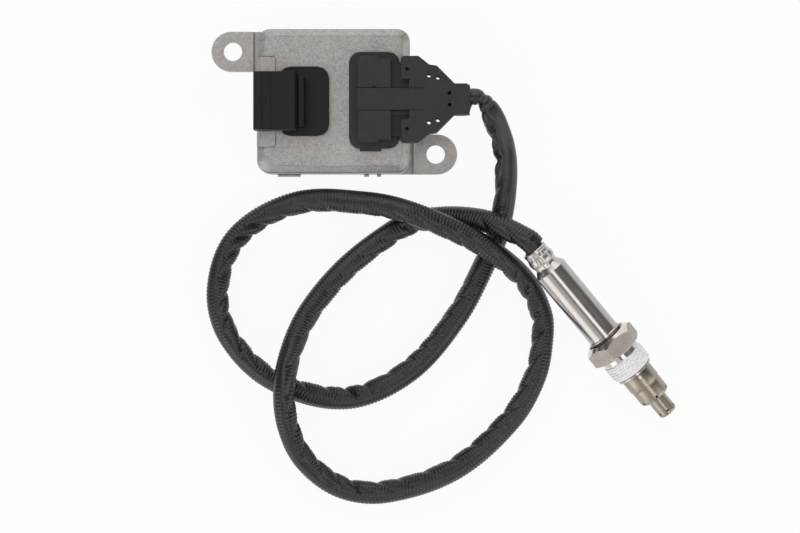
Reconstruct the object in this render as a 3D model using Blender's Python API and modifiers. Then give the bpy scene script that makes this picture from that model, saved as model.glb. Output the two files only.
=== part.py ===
"""Nitrogen oxide sensor: control module, sleeved cable and probe, each piece its own solid.

Metres, +Z up. The origin is the middle of the module's underside. The vehicle connector opens to
-X, the cable leaves the module towards +X, and the probe lies beside it.
"""

import math

import bmesh
import bpy
from mathutils import Matrix, Vector
from mathutils.geometry import interpolate_bezier

PART_GROUP = "nitrogen_oxide_sensor"
TOOL_GROUP = "cutters"

# Fits and fineness
GAP = 0.0003
MERGE = 0.00001
BEYOND = 0.001
TURN_STEPS = 24
SCREW_STEPS = 12
ROD_SIDES = 16
SMALL_SIDES = 8
WIRE_STEPS = 2
CORNER_STEPS = 3
EDGE_STEPS = 2
CURVE_STEPS = 24
CORNER_TRIM = 0.3

# Module housing
BOX_LENGTH = 0.0715
BOX_WIDTH = 0.0675
BOX_HEIGHT = 0.018
BOX_CORNER = 0.006
SHOULDER = 0.003
INNER_SHOULDER_SHARE = 0.75
BASE_THICKNESS = 0.002
COVER_WALL = 0.0024
COVER_ROOF = 0.002
RIM_SEAL_WIDTH = 0.001
RIM_SEAL_THICKNESS = 0.001

# Mounting lugs, with the pressed line at their root
LUG_RADIUS = 0.00945
LUG_HOLE_RADIUS = 0.0044
LUG_REACH = 0.01225
LUG_END_SHIFT = 0.0007
LUG_STEPS = 12
ROOT_LINE_WIDTH = 0.0014
ROOT_LINE_DEPTH = 0.0008
ROOT_LINE_OFFSET = 0.0004

# Tab folded over the cover, and the crimp tabs on the lower edge: middle and length along X
TAB_WIDTH = 0.0419
TAB_Y = -0.00055
TAB_REACH = 0.0088
TAB_THICKNESS = 0.001
TAB_FOLD_RADIUS = 0.0022
TAB_CORNER = 0.0013
CRIMP_TABS = ((-0.0213, 0.0108), (0.0153, 0.0023), (0.0212, 0.0019))
CRIMP_TAB_HEIGHT = 0.0046
CRIMP_TAB_THICKNESS = 0.0008

# Circuit board, its bosses, screws and components
BOARD_CLEARANCE = 0.0028
BOARD_THICKNESS = 0.0016
BOARD_CORNER = 0.003
BOSS_HEIGHT = 0.004
BOSS_RADIUS = 0.003
BOARD_SCREW_INSET = 0.004
SCREW_RADIUS = 0.00125
SCREW_HEAD_RADIUS = 0.0023
SCREW_HEAD_HEIGHT = 0.0014
SCREW_LENGTH = 0.0052
SCREW_SLOT = 0.0006
CONTROLLER_SIDE = 0.014
CONTROLLER_HEIGHT = 0.0015
DRIVER_LENGTH = 0.009
DRIVER_WIDTH = 0.010
DRIVER_HEIGHT = 0.004
CAPACITOR_RADIUS = 0.0035
CAPACITOR_CLEARANCE = 0.0026
COMPONENT_CORNER = 0.0005
CHIP_EDGE = 0.0002
COMPONENT_INSET = 0.00855

# Flanged connector bases on the cover, side by side along X
PAD_SPACING = 0.0093
PAD_LENGTH_DIFFERENCE = 0.00005
PAD_THICKNESS = 0.0025
PAD_MARGIN = 0.0037
PAD_EDGE = 0.0006
OPENING_CORNER = 0.002
PAD_SEAL_WIDTH = 0.001
PAD_SEAL_THICKNESS = 0.001
LATCH_DROP = 0.0015
LATCH_REACH = 0.0008
LATCH_LENGTH = 0.006

# Vehicle connector
HEADER_EDGE = 0.0104
HEADER_PAD_WIDTH = 0.0323
HEADER_PAD_CORNER = 0.0054
HEADER_Y = -0.00045
SHROUD_OVERHANG = 0.00055
SHROUD_LENGTH = 0.0195
SHROUD_WIDTH = 0.0268
SHROUD_HEIGHT = 0.014
SHROUD_RISE = 0.0022
SHROUD_WALL = 0.002
SHROUD_EDGE = 0.0008
SHROUD_Y = -0.001
SOCKET_DEPTH = 0.015
KEY_WIDTH = 0.0018
KEY_HEIGHT = 0.0012
KEY_SPREAD = 0.014
RIB_SLOT = 0.0005
RIB_LENGTH = 0.0034
RIB_WIDTH = 0.0228
RIB_Y = -0.0012
RIB_DROP = 0.0035
RIB_CORNER = 0.0006
BRIDGE_RISE = 0.0018
PIN_COUNT = 5
PIN_PITCH = 0.004
PIN_RADIUS = 0.0005
PIN_BEND = 0.0012
PIN_SETBACK = 0.0068
PIN_TAIL = 0.0008

# Probe-side plug
PLUG_EDGE = 0.00485
PLUG_PAD_WIDTH = 0.045
PLUG_PAD_CORNER = 0.005
PAD_LIP_LENGTH = 0.010
PAD_LIP_REACH = 0.0012
BLOCK_INSET = 0.004
BLOCK_WIDTH = 0.0398
BLOCK_HEIGHT = 0.0079
BLOCK_WALL = 0.0018
BLOCK_CORNER = 0.0019
BLOCK_EDGE = 0.0005
BLOCK_STEP = 0.0012
BLOCK_STEP_X = 0.002
BLOCK_ROOF = 0.003
NOTCH_RADIUS = 0.0008
STRAP_WIDTH = 0.0101
STRAP_THICKNESS = 0.0014
TONGUE_WIDTH = 0.034
TONGUE_THICKNESS = 0.0014
TONGUE_WALL = 0.0016
TONGUE_DROP = 0.0034
TONGUE_RIB_WIDTH = 0.002
TONGUE_RIB_HEIGHT = 0.0012
PLUG_PIN_COUNT = 4
PLUG_PIN_PITCH = 0.008
PLUG_PIN_RADIUS = 0.0006
PLUG_PIN_RISE = 0.004
TERMINAL_SIDE = 0.0024
TERMINAL_LENGTH = 0.0038
TERMINAL_CROWN = 0.0005

# Cable boot: its half outline is read from its left edge, and mirrored in Y
BOOT_WALL = 0.0016
BOOT_EDGE = 0.0007
BOOT_CLEARANCE = 0.0005
BOOT_OUTLINE = (
    (0.0, 0.0185), (0.0004, 0.0194), (0.0014, 0.0199), (0.0082, 0.0199), (0.0132, 0.0159),
    (0.0167, 0.0154), (0.0249, 0.0072), (0.0306, 0.0072), (0.0321, 0.0057),
)
BOOT_NOTCH_LENGTH = 0.0039
BOOT_NOTCH_REACH = 0.0093
BOOT_NECK_START = 0.0195
BOOT_HOLE_RADIUS = 0.00095
BOOT_THROUGH_HOLES = ((0.0131, 0.0108), (0.0172, 0.0098))
BOOT_BLIND_HOLES = ((0.0029, 0.0138), (0.0225, 0.00265))
EXIT_RADIUS = 0.0072
EXIT_BORE = 0.0042
NECK_BORE = 0.0055
LEAD_RADIUS = 0.0009
LEAD_BUNDLE = 0.00115
LEAD_DROP = 0.006
LEAD_SPACING = 0.005
LEAD_GATHER = 0.58

# Probe: where its cable end lies, its course across the floor plane, and its fall to the tip
PROBE_START_X = 0.0929
PROBE_START_Y = -0.0691
PROBE_ANGLE = math.radians(-49.95)
PROBE_TILT = math.radians(7.5)
NECK_LENGTH = 0.0101
NECK_RADIUS = 0.0062
CRIMP_DEPTH = 0.0006
CRIMP_LENGTH = 0.0015
CRIMP_RAMP = 0.0008
CRIMP_PLACES = (0.0026, 0.0084)
SHOULDER_LENGTH = 0.0026
TUBE_LENGTH = 0.0411
TUBE_RADIUS = 0.0079
TUBE_WALL = 0.0007
BEAD_HEIGHT = 0.0005
BEAD_LENGTH = 0.0008
SLEEVE_OVERLAP = 0.0012
HEX_ACROSS_FLATS = 0.023
HEX_HEIGHT = 0.0095
HEX_CHAMFER = 0.0011
HEX_LEAD = 0.0026
HEX_RIM = 0.0005
HEX_TURN = math.radians(18.8)
COUNTERBORE_STEP = 0.0012
COUNTERBORE_DEPTH = 0.0026
THREAD_RADIUS = 0.010
THREAD_LENGTH = 0.0112
FLANGE_THICKNESS = 0.0009
FLANGE_LIP = 0.0009
COLLAR_HEIGHT = 0.0003
BODY_SKIRT = 0.0057
BODY_WALL = 0.0018
SPIGOT_LENGTH = 0.0043
SPIGOT_LIP = 0.0025
SPIGOT_LIP_STEP = 0.0011
GUARD_LENGTH = 0.0151
GUARD_RADIUS = 0.0079
GUARD_TAPER = 0.0003
GUARD_WALL = 0.0006
GUARD_GROOVE_AT = 0.0072
GUARD_GROOVE_DEPTH = 0.0003
GUARD_END_RADIUS = 0.0017
GUARD_HOLE_RADIUS = 0.00045
GUARD_HOLE_INSET = 0.001
GUARD_HOLE_LEAN = 0.0007
GUARD_HOLES = 6
GUARD_TURN = math.radians(-6.5)
TIP_RADIUS = 0.0045
TIP_WALL = 0.0006
TIP_LENGTH = 0.0097
TIP_END_RADIUS = 0.001
TIP_HOLE_RADIUS = 0.0004
TIP_HOLE_INSET = 0.0012
TIP_FLANGE = 0.0008

# Inside the probe
ELEMENT_WIDTH = 0.0034
ELEMENT_THICKNESS = 0.0012
ELEMENT_LENGTH = 0.062
ELEMENT_SHORT_OF_TIP = 0.0045
HOLDER_SPACE = 0.0064
HOLDER_LENGTH = 0.020
UPPER_INSULATOR_LENGTH = 0.0112
POWDER_LENGTH = 0.0056
PROBE_WIRE_COUNT = 4
PROBE_WIRE_RADIUS = 0.0008
PROBE_WIRE_CIRCLE = 0.0021
PROBE_WIRE_SEAT = 0.0075
GROMMET_LENGTH = 0.012

# Cable sleeve: points that its middle line passes, between the boot and the probe's neck
SLEEVE_RADIUS = 0.0055
SLEEVE_STEPS = 3
POINT_SPACING = 0.0165
STRAIGHT_END = 0.003
SLEEVE_ROUTE = (
    (0.0740, -0.0018, 0.0206), (0.0803, -0.0076, 0.0176), (0.0838, -0.0165, 0.0136),
    (0.0847, -0.0285, 0.0088), (0.0831, -0.0412, 0.0061), (0.0802, -0.0526, 0.0058),
    (0.0762, -0.0639, 0.0058), (0.0713, -0.0745, 0.0058), (0.0576, -0.1003, 0.0058),
    (0.0346, -0.1270, 0.0058), (0.0054, -0.1394, 0.0058), (-0.0283, -0.1308, 0.0058),
    (-0.0495, -0.1107, 0.0058), (-0.0553, -0.0880, 0.0058), (-0.0456, -0.0632, 0.0058),
    (-0.0183, -0.0476, 0.0066), (0.0155, -0.0470, 0.0135), (0.0370, -0.0526, 0.0189),
    (0.0619, -0.0636, 0.0190), (0.0770, -0.0724, 0.0184), (0.0905, -0.0850, 0.0104),
    (0.0979, -0.0999, 0.0064), (0.0993, -0.1110, 0.0058), (0.0954, -0.1295, 0.0058),
    (0.0830, -0.1490, 0.0058), (0.0576, -0.1727, 0.0058), (0.0246, -0.1833, 0.0058),
    (0.0035, -0.1812, 0.0062), (-0.0133, -0.1686, 0.0102), (-0.0212, -0.1520, 0.0160),
    (-0.0232, -0.1340, 0.0184), (-0.0200, -0.1160, 0.0138), (-0.0110, -0.0980, 0.0076),
    (0.0062, -0.0776, 0.0058), (0.0285, -0.0604, 0.0058), (0.0452, -0.0524, 0.0070),
    (0.0580, -0.0505, 0.0116), (0.0682, -0.0516, 0.0160), (0.0775, -0.0549, 0.0193),
    (0.0855, -0.0605, 0.0215),
)

# Colours, with roughness and metallic share
ALUMINIUM = ((0.40, 0.38, 0.37), 0.45, 1.0)
STEEL = ((0.45, 0.42, 0.39), 0.22, 1.0)
SATIN_STEEL = ((0.38, 0.34, 0.29), 0.42, 1.0)
BRASS = ((0.55, 0.42, 0.20), 0.30, 1.0)
BLACK_PLASTIC = ((0.022, 0.022, 0.024), 0.45, 0.0)
BOOT_PLASTIC = ((0.045, 0.045, 0.048), 0.60, 0.0)
SLEEVE_BLACK = ((0.012, 0.012, 0.013), 0.50, 0.0)
SEAL_RUBBER = ((0.03, 0.03, 0.03), 0.80, 0.0)
BOARD_GREEN = ((0.02, 0.12, 0.05), 0.40, 0.0)
CERAMIC = ((0.75, 0.73, 0.68), 0.50, 0.0)
LEAD_COLOUR = ((0.25, 0.03, 0.02), 0.50, 0.0)


def start_scene():
    """Empty the scene and make the two collections."""
    for item in list(bpy.data.objects):
        bpy.data.objects.remove(item, do_unlink=True)
    for name in (PART_GROUP, TOOL_GROUP):
        if name not in bpy.data.collections:
            group = bpy.data.collections.new(name)
            bpy.context.scene.collection.children.link(group)


def add_shape(data, parent=None):
    """Put new data in the scene as a hidden working shape."""
    item = bpy.data.objects.new("shape", data)
    bpy.data.collections[TOOL_GROUP].objects.link(item)
    item.hide_render = True
    item.display_type = 'WIRE'
    item.parent = parent
    return item


def add_form(form, parent=None):
    """Turn a bmesh into a working shape with smooth round sides."""
    mesh = bpy.data.meshes.new("shape")
    form.to_mesh(mesh)
    form.free()
    mesh.shade_smooth()
    mesh.set_sharp_from_angle(angle=math.radians(40))
    return add_shape(mesh, parent)


def finish_part(name, item, finish):
    """Name a finished piece, colour it and move it from the working shapes to the parts."""
    colour, roughness, metallic = finish
    skin = bpy.data.materials.new(name + "_finish")
    skin.use_nodes = True
    shader = skin.node_tree.nodes["Principled BSDF"]
    shader.inputs["Base Color"].default_value = (*colour, 1.0)
    shader.inputs["Roughness"].default_value = roughness
    shader.inputs["Metallic"].default_value = metallic
    item.data.materials.clear()
    item.data.materials.append(skin)
    item.name = name
    item.data.name = name
    item.hide_render = False
    item.display_type = 'TEXTURED'
    bpy.data.collections[TOOL_GROUP].objects.unlink(item)
    bpy.data.collections[PART_GROUP].objects.link(item)
    return item


def cut(target, *tools):
    """Take the tools away from the target."""
    for tool in tools:
        step = target.modifiers.new("cut", 'BOOLEAN')
        step.operation = 'DIFFERENCE'
        step.object = tool


def join(target, *tools):
    """Fuse the tools with the target."""
    for tool in tools:
        step = target.modifiers.new("join", 'BOOLEAN')
        step.operation = 'UNION'
        step.object = tool


def block(low, high, corner=0.0, edge=0.0, parent=None):
    """Box between two corners, with round upright corners and a softened top edge."""
    low = Vector(low)
    high = Vector(high)
    form = bmesh.new()
    bmesh.ops.create_cube(form, size=1.0)
    bmesh.ops.scale(form, vec=high - low, verts=form.verts)
    bmesh.ops.translate(form, vec=(high + low) / 2, verts=form.verts)
    if corner:
        upright = [side for side in form.edges if side.verts[0].co.xy == side.verts[1].co.xy]
        bmesh.ops.bevel(form, geom=upright, offset=corner, segments=CORNER_STEPS,
                        profile=0.5, affect='EDGES')
    if edge:
        rim = [side for side in form.edges if all(end.co.z > high.z - MERGE for end in side.verts)]
        bmesh.ops.bevel(form, geom=rim, offset=edge, segments=EDGE_STEPS,
                        profile=0.5, affect='EDGES')
    return add_form(form, parent)


def rod(start, end, radius, sides=ROD_SIDES, parent=None):
    """Round bar between two points."""
    start = Vector(start)
    along = Vector(end) - start
    form = bmesh.new()
    bmesh.ops.create_cone(form, cap_ends=True, segments=sides, radius1=radius, radius2=radius,
                          depth=along.length)
    bmesh.ops.translate(form, vec=(0.0, 0.0, along.length / 2), verts=form.verts)
    turn = along.to_track_quat('Z', 'Y').to_matrix().to_4x4()
    bmesh.ops.transform(form, matrix=Matrix.Translation(start) @ turn, verts=form.verts)
    return add_form(form, parent)


def turned(profile, hollow, parent=None, steps=TURN_STEPS):
    """Round body about local Z from (radius, height) points, read down the outer side."""
    points = [(radius, 0.0, height) for radius, height in profile]
    lines = [(place, place + 1) for place in range(len(points) - 1)]
    if hollow:
        lines.append((len(points) - 1, 0))
    mesh = bpy.data.meshes.new("shape")
    mesh.from_pydata(points, lines, [])
    item = add_shape(mesh, parent)
    screw = item.modifiers.new("turn", 'SCREW')
    screw.axis = 'Z'
    screw.steps = steps
    screw.render_steps = steps
    screw.use_merge_vertices = True
    screw.merge_threshold = MERGE
    return item


def as_mesh(curve):
    """Replace a curve by a welded mesh, ready to be cut."""
    graph = bpy.context.evaluated_depsgraph_get()
    mesh = bpy.data.meshes.new_from_object(curve.evaluated_get(graph))
    form = bmesh.new()
    form.from_mesh(mesh)
    bpy.data.meshes.remove(mesh)
    bmesh.ops.remove_doubles(form, verts=form.verts, dist=MERGE)
    bmesh.ops.dissolve_limit(form, angle_limit=math.radians(1), verts=form.verts, edges=form.edges)
    item = add_form(form, curve.parent)
    item.matrix_world = curve.matrix_world
    bpy.data.objects.remove(curve)
    return item


def plate(outline, bottom, top):
    """Flat piece of a given outline, between two heights."""
    curve = bpy.data.curves.new("outline", 'CURVE')
    curve.dimensions = '2D'
    curve.fill_mode = 'BOTH'
    curve.extrude = (top - bottom) / 2
    spline = curve.splines.new('POLY')
    spline.points.add(len(outline) - 1)
    for point, (x, y) in zip(spline.points, outline):
        point.co = (x, y, (top + bottom) / 2, 1.0)
    spline.use_cyclic_u = True
    return as_mesh(add_shape(curve))


def tube(points, radius, rounding=WIRE_STEPS, parent=None):
    """Round tube along points, closed at both ends."""
    curve = bpy.data.curves.new("route", 'CURVE')
    curve.dimensions = '3D'
    curve.bevel_depth = radius
    curve.bevel_resolution = rounding
    curve.use_fill_caps = True
    spline = curve.splines.new('POLY')
    spline.points.add(len(points) - 1)
    for point, place in zip(spline.points, points):
        point.co = (*place, 1.0)
    return add_shape(curve, parent)


def gather(items):
    """Bring separate plain shapes together as one working shape."""
    form = bmesh.new()
    for item in items:
        form.from_mesh(item.data)
        bpy.data.objects.remove(item)
    return add_form(form)


def ring(low, high, corner, width):
    """Flat seal ring with round corners, between an outer box and a width."""
    body = block(low, high, corner)
    inner_low = (low[0] + width, low[1] + width, low[2] - BEYOND)
    inner_high = (high[0] - width, high[1] - width, high[2] + BEYOND)
    cut(body, block(inner_low, inner_high, max(corner - width, width)))
    return body


def arc(centre, radius, start, end, steps):
    """Points on a round stretch, with its angles in degrees."""
    angles = [math.radians(start + (end - start) * step / steps) for step in range(steps + 1)]
    return [(centre[0] + radius * math.cos(angle), centre[1] + radius * math.sin(angle))
            for angle in angles]


def inset(outline, distance):
    """Move each side of a counterclockwise outline inwards."""
    moved = []
    for place, corner in enumerate(outline):
        corner = Vector(corner)
        arriving = (corner - Vector(outline[place - 1])).normalized()
        leaving = (Vector(outline[(place + 1) % len(outline)]) - corner).normalized()
        inward_a = Vector((-arriving.y, arriving.x))
        inward_b = Vector((-leaving.y, leaving.x))
        middle = inward_a + inward_b
        moved.append(tuple(corner + middle * (2 * distance / middle.length_squared)))
    return moved


def smooth_points(points, first_way, last_way, spacing):
    """Even points on one smooth curve through a route, with set directions at its ends."""
    points = [Vector(point) for point in points]
    ways = [(after - before).normalized() for before, after in zip(points, points[2:])]
    ways = [Vector(first_way), *ways, Vector(last_way)]
    fine = [points[0]]
    for place in range(len(points) - 1):
        here, there = points[place], points[place + 1]
        pull = (there - here).length / 3
        piece = interpolate_bezier(here, here + ways[place] * pull,
                                   there - ways[place + 1] * pull, there, CURVE_STEPS)
        fine.extend(piece[1:])
    lengths = [0.0]
    for before, after in zip(fine, fine[1:]):
        lengths.append(lengths[-1] + (after - before).length)
    count = round(lengths[-1] / spacing)
    even = []
    at = 0
    for step in range(count + 1):
        goal = lengths[-1] * step / count
        while at < len(fine) - 2 and lengths[at + 1] < goal:
            at += 1
        share = (goal - lengths[at]) / (lengths[at + 1] - lengths[at])
        even.append(fine[at].lerp(fine[at + 1], min(share, 1.0)))
    return even


def half_size(length, width, x=0.0, y=0.0):
    """Low and high X and Y of a rectangle about a middle."""
    return x - length / 2, y - width / 2, x + length / 2, y + width / 2


# Places that several pieces share
SIDE_X = BOX_LENGTH / 2
SIDE_Y = BOX_WIDTH / 2
ROOF_UNDER = BOX_HEIGHT - COVER_ROOF
RIM_BOTTOM = BASE_THICKNESS + GAP
INNER_X = SIDE_X - COVER_WALL
INNER_Y = SIDE_Y - COVER_WALL
BOARD_X = INNER_X - BOARD_CLEARANCE
BOARD_Y = INNER_Y - BOARD_CLEARANCE
BOARD_BOTTOM = BASE_THICKNESS + BOSS_HEIGHT + GAP
BOARD_TOP = BOARD_BOTTOM + BOARD_THICKNESS
SCREW_PLACES = [(x * (BOARD_X - BOARD_SCREW_INSET), y * (BOARD_Y - BOARD_SCREW_INSET))
                for x in (-1, 1) for y in (-1, 1)]
PAD_BOTTOM = BOX_HEIGHT + GAP
PAD_TOP = PAD_BOTTOM + PAD_THICKNESS
COMPONENT_Y = COMPONENT_INSET - BOARD_Y
PAD_ROOM = BOX_LENGTH - HEADER_EDGE - PAD_SPACING - PLUG_EDGE
HEADER_PAD_LENGTH = (PAD_ROOM - PAD_LENGTH_DIFFERENCE) / 2
PLUG_PAD_LENGTH = (PAD_ROOM + PAD_LENGTH_DIFFERENCE) / 2
HEADER_X = -SIDE_X + HEADER_EDGE + HEADER_PAD_LENGTH / 2
PLUG_X = SIDE_X - PLUG_EDGE - PLUG_PAD_LENGTH / 2
SHROUD_LEFT = -SIDE_X - SHROUD_OVERHANG
SHROUD_RIGHT = SHROUD_LEFT + SHROUD_LENGTH
SHROUD_BOTTOM = BOX_HEIGHT + SHROUD_RISE
SHROUD_TOP = SHROUD_BOTTOM + SHROUD_HEIGHT
PIN_Z = (SHROUD_BOTTOM + SHROUD_TOP) / 2
RIB_LEFT = SHROUD_RIGHT + RIB_SLOT
PIN_TURN_X = RIB_LEFT + RIB_LENGTH / 2
PIN_END = BOARD_BOTTOM - PIN_TAIL
PLUG_BOTTOM = PAD_TOP + GAP
PLUG_TOP = PLUG_BOTTOM + BLOCK_HEIGHT
PLUG_PAD_RIGHT = PLUG_X + PLUG_PAD_LENGTH / 2
BLOCK_LEFT = PLUG_X - PLUG_PAD_LENGTH / 2 + BLOCK_INSET
BLOCK_RIGHT = PLUG_PAD_RIGHT - BLOCK_INSET
STRAP_BOTTOM = PLUG_TOP - STRAP_THICKNESS
TONGUE_TOP = PLUG_TOP - TONGUE_DROP
TONGUE_UNDER = TONGUE_TOP - TONGUE_THICKNESS
BOOT_LEFT = PLUG_PAD_RIGHT + BOOT_CLEARANCE
BOOT_RIGHT = BOOT_LEFT + BOOT_OUTLINE[-1][0]
BOOT_BOTTOM = BOX_HEIGHT + BOOT_CLEARANCE
EXIT_Z = PLUG_TOP - EXIT_RADIUS
SEAM_LOW = EXIT_Z - GAP / 2
SEAM_HIGH = EXIT_Z + GAP / 2
PLUG_PINS = [(index - (PLUG_PIN_COUNT - 1) / 2) * PLUG_PIN_PITCH for index in range(PLUG_PIN_COUNT)]
HEADER_PINS = [SHROUD_Y + (index - (PIN_COUNT - 1) / 2) * PIN_PITCH for index in range(PIN_COUNT)]

# Stations along the probe, from the cable end to the tip
SHOULDER_END = NECK_LENGTH + SHOULDER_LENGTH
HEX_START = SHOULDER_END + TUBE_LENGTH
HEX_END = HEX_START + HEX_HEIGHT
NUT_END = HEX_END + THREAD_LENGTH
SLEEVE_END = HEX_START + SLEEVE_OVERLAP
BODY_START = SLEEVE_END - BODY_SKIRT
HOLDER_END = BODY_START - HOLDER_SPACE
HOLDER_START = HOLDER_END - HOLDER_LENGTH
FLANGE_START = NUT_END + GAP
FLANGE_END = FLANGE_START + FLANGE_THICKNESS
COLLAR_END = FLANGE_END + COLLAR_HEIGHT
SPIGOT_END = COLLAR_END + SPIGOT_LENGTH
GUARD_START = COLLAR_END + GAP
GUARD_END = GUARD_START + GUARD_LENGTH
TIP_END = GUARD_END + TIP_LENGTH

# Radii that fit in each other along the probe
TUBE_INNER = TUBE_RADIUS - TUBE_WALL
NUT_BORE = TUBE_RADIUS + GAP
SKIRT_RADIUS = TUBE_INNER - GAP
BODY_BORE = SKIRT_RADIUS - BODY_WALL
INSULATOR_RADIUS = BODY_BORE - GAP
GUARD_INNER = GUARD_RADIUS - GUARD_TAPER - GUARD_WALL
SPIGOT_RADIUS = GUARD_INNER - GAP
CRIMP_RADIUS = NECK_RADIUS - CRIMP_DEPTH
GROMMET_RADIUS = CRIMP_RADIUS - TUBE_WALL - GAP
HEX_CORNER = HEX_ACROSS_FLATS / math.sqrt(3)
COUNTERBORE = NUT_BORE + COUNTERBORE_STEP

# The nut's lowest corner clears the floor plane, and the cable end lies higher than the tip
PROBE_Z = HEX_CORNER * math.cos(PROBE_TILT) + HEX_END * math.sin(PROBE_TILT) + GAP
PROBE_WAY = Vector((math.cos(PROBE_ANGLE) * math.cos(PROBE_TILT),
                    math.sin(PROBE_ANGLE) * math.cos(PROBE_TILT), -math.sin(PROBE_TILT)))


def lug_points():
    """Both lug middles, opposite each other."""
    x = SIDE_X + LUG_REACH
    y = SIDE_Y - LUG_RADIUS
    return [(-x, y), (x, -y)]


def make_base_plate():
    """Pressed sheet with the lugs, the folded tab, the crimp tabs and the board bosses."""
    (lug_x, lug_y), _ = lug_points()
    half = arc((SIDE_X - BOX_CORNER, SIDE_Y - BOX_CORNER), BOX_CORNER, 0, 90, CORNER_STEPS)
    half += arc((lug_x - LUG_END_SHIFT, lug_y), LUG_RADIUS, 90, 270, LUG_STEPS)
    half.append((-SIDE_X, lug_y - LUG_RADIUS))
    base = plate(half + [(-x, -y) for x, y in half], 0.0, BASE_THICKNESS)
    for x, y in lug_points():
        cut(base, rod((x, y, -BEYOND), (x, y, BASE_THICKNESS + BEYOND), LUG_HOLE_RADIUS,
                      TURN_STEPS))
        root = math.copysign(SIDE_X + ROOT_LINE_OFFSET + ROOT_LINE_WIDTH / 2, x)
        cut(base, block((root - ROOT_LINE_WIDTH / 2, y - LUG_RADIUS - BEYOND,
                         BASE_THICKNESS - ROOT_LINE_DEPTH),
                        (root + ROOT_LINE_WIDTH / 2, y + LUG_RADIUS + BEYOND,
                         BASE_THICKNESS + BEYOND)))
    join(base, folded_tab())
    for middle, length in CRIMP_TABS:
        low_y = -SIDE_Y - GAP - CRIMP_TAB_THICKNESS
        join(base, block((middle - length / 2, low_y, 0.0),
                         (middle + length / 2, -SIDE_Y - GAP, CRIMP_TAB_HEIGHT)),
             block((middle - length / 2, low_y + CRIMP_TAB_THICKNESS / 2, 0.0),
                   (middle + length / 2, -INNER_Y, BASE_THICKNESS)))
    for x, y in SCREW_PLACES:
        join(base, rod((x, y, BASE_THICKNESS / 2), (x, y, BASE_THICKNESS + BOSS_HEIGHT), BOSS_RADIUS))
        cut(base, rod((x, y, BASE_THICKNESS), (x, y, BOARD_TOP), SCREW_RADIUS + GAP, SCREW_STEPS))
    finish_part("base_plate", base, ALUMINIUM)


def folded_tab(spare=0.0):
    """Strip that rises at the left and lies over the cover's edge, or with spare its pocket."""
    bend = (-SIDE_X + TAB_FOLD_RADIUS, BOX_HEIGHT - TAB_FOLD_RADIUS)
    reach = -SIDE_X + TAB_REACH + spare
    half = TAB_WIDTH / 2 + spare
    outline = [(-SIDE_X + TAB_THICKNESS + spare, 0.0)]
    outline += arc(bend, TAB_FOLD_RADIUS - TAB_THICKNESS - spare, 180, 90, CORNER_STEPS)
    outline.append((reach, BOX_HEIGHT - TAB_THICKNESS - spare))
    if spare:
        outline += [(reach, BOX_HEIGHT + BEYOND), (-SIDE_X - BEYOND, BOX_HEIGHT + BEYOND),
                    (-SIDE_X - BEYOND, 0.0)]
    else:
        outline += [(reach, BOX_HEIGHT), *arc(bend, TAB_FOLD_RADIUS, 90, 180, CORNER_STEPS),
                    (-SIDE_X, 0.0)]
    tab = plate(outline, -half - TAB_Y, half - TAB_Y)
    tab.data.transform(Matrix.Rotation(math.pi / 2, 4, 'X'))
    form = bmesh.new()
    form.from_mesh(tab.data)
    ends = [side for side in form.edges if all(abs(end.co.x - reach) < MERGE for end in side.verts)
            and abs(side.verts[0].co.y - side.verts[1].co.y) < MERGE]
    bmesh.ops.bevel(form, geom=ends, offset=TAB_CORNER + spare, segments=EDGE_STEPS, profile=0.5,
                    affect='EDGES')
    form.to_mesh(tab.data)
    form.free()
    return tab


def make_cover():
    """Shell over the board, with a pocket for the folded tab and two connector openings."""
    cover = block((-SIDE_X, -SIDE_Y, RIM_BOTTOM), (SIDE_X, SIDE_Y, BOX_HEIGHT),
                  BOX_CORNER, SHOULDER)
    inner_corner = BOX_CORNER - COVER_WALL
    cut(cover, block((-INNER_X, -INNER_Y, RIM_BOTTOM - BEYOND), (INNER_X, INNER_Y, ROOF_UNDER),
                     inner_corner, min(SHOULDER, inner_corner) * INNER_SHOULDER_SHARE))
    seat = RIM_SEAL_WIDTH + GAP
    cut(cover, block((-INNER_X - seat, -INNER_Y - seat, RIM_BOTTOM - BEYOND),
                     (INNER_X + seat, INNER_Y + seat, RIM_BOTTOM + RIM_SEAL_THICKNESS + GAP),
                     inner_corner + seat))
    cut(cover, folded_tab(GAP))
    for x, y, length, width in ((HEADER_X, HEADER_Y, HEADER_PAD_LENGTH, HEADER_PAD_WIDTH),
                                (PLUG_X, 0.0, PLUG_PAD_LENGTH, PLUG_PAD_WIDTH)):
        left, low, right, high = half_size(length - 2 * PAD_MARGIN, width - 2 * PAD_MARGIN, x, y)
        cut(cover, block((left, low, ROOF_UNDER - BEYOND), (right, high, BOX_HEIGHT + BEYOND),
                         OPENING_CORNER))
    finish_part("cover", cover, ALUMINIUM)
    seal = ring((-INNER_X - RIM_SEAL_WIDTH, -INNER_Y - RIM_SEAL_WIDTH, RIM_BOTTOM),
                (INNER_X + RIM_SEAL_WIDTH, INNER_Y + RIM_SEAL_WIDTH,
                 RIM_BOTTOM + RIM_SEAL_THICKNESS),
                inner_corner + RIM_SEAL_WIDTH, RIM_SEAL_WIDTH - GAP)
    finish_part("cover_seal", seal, SEAL_RUBBER)


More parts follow.
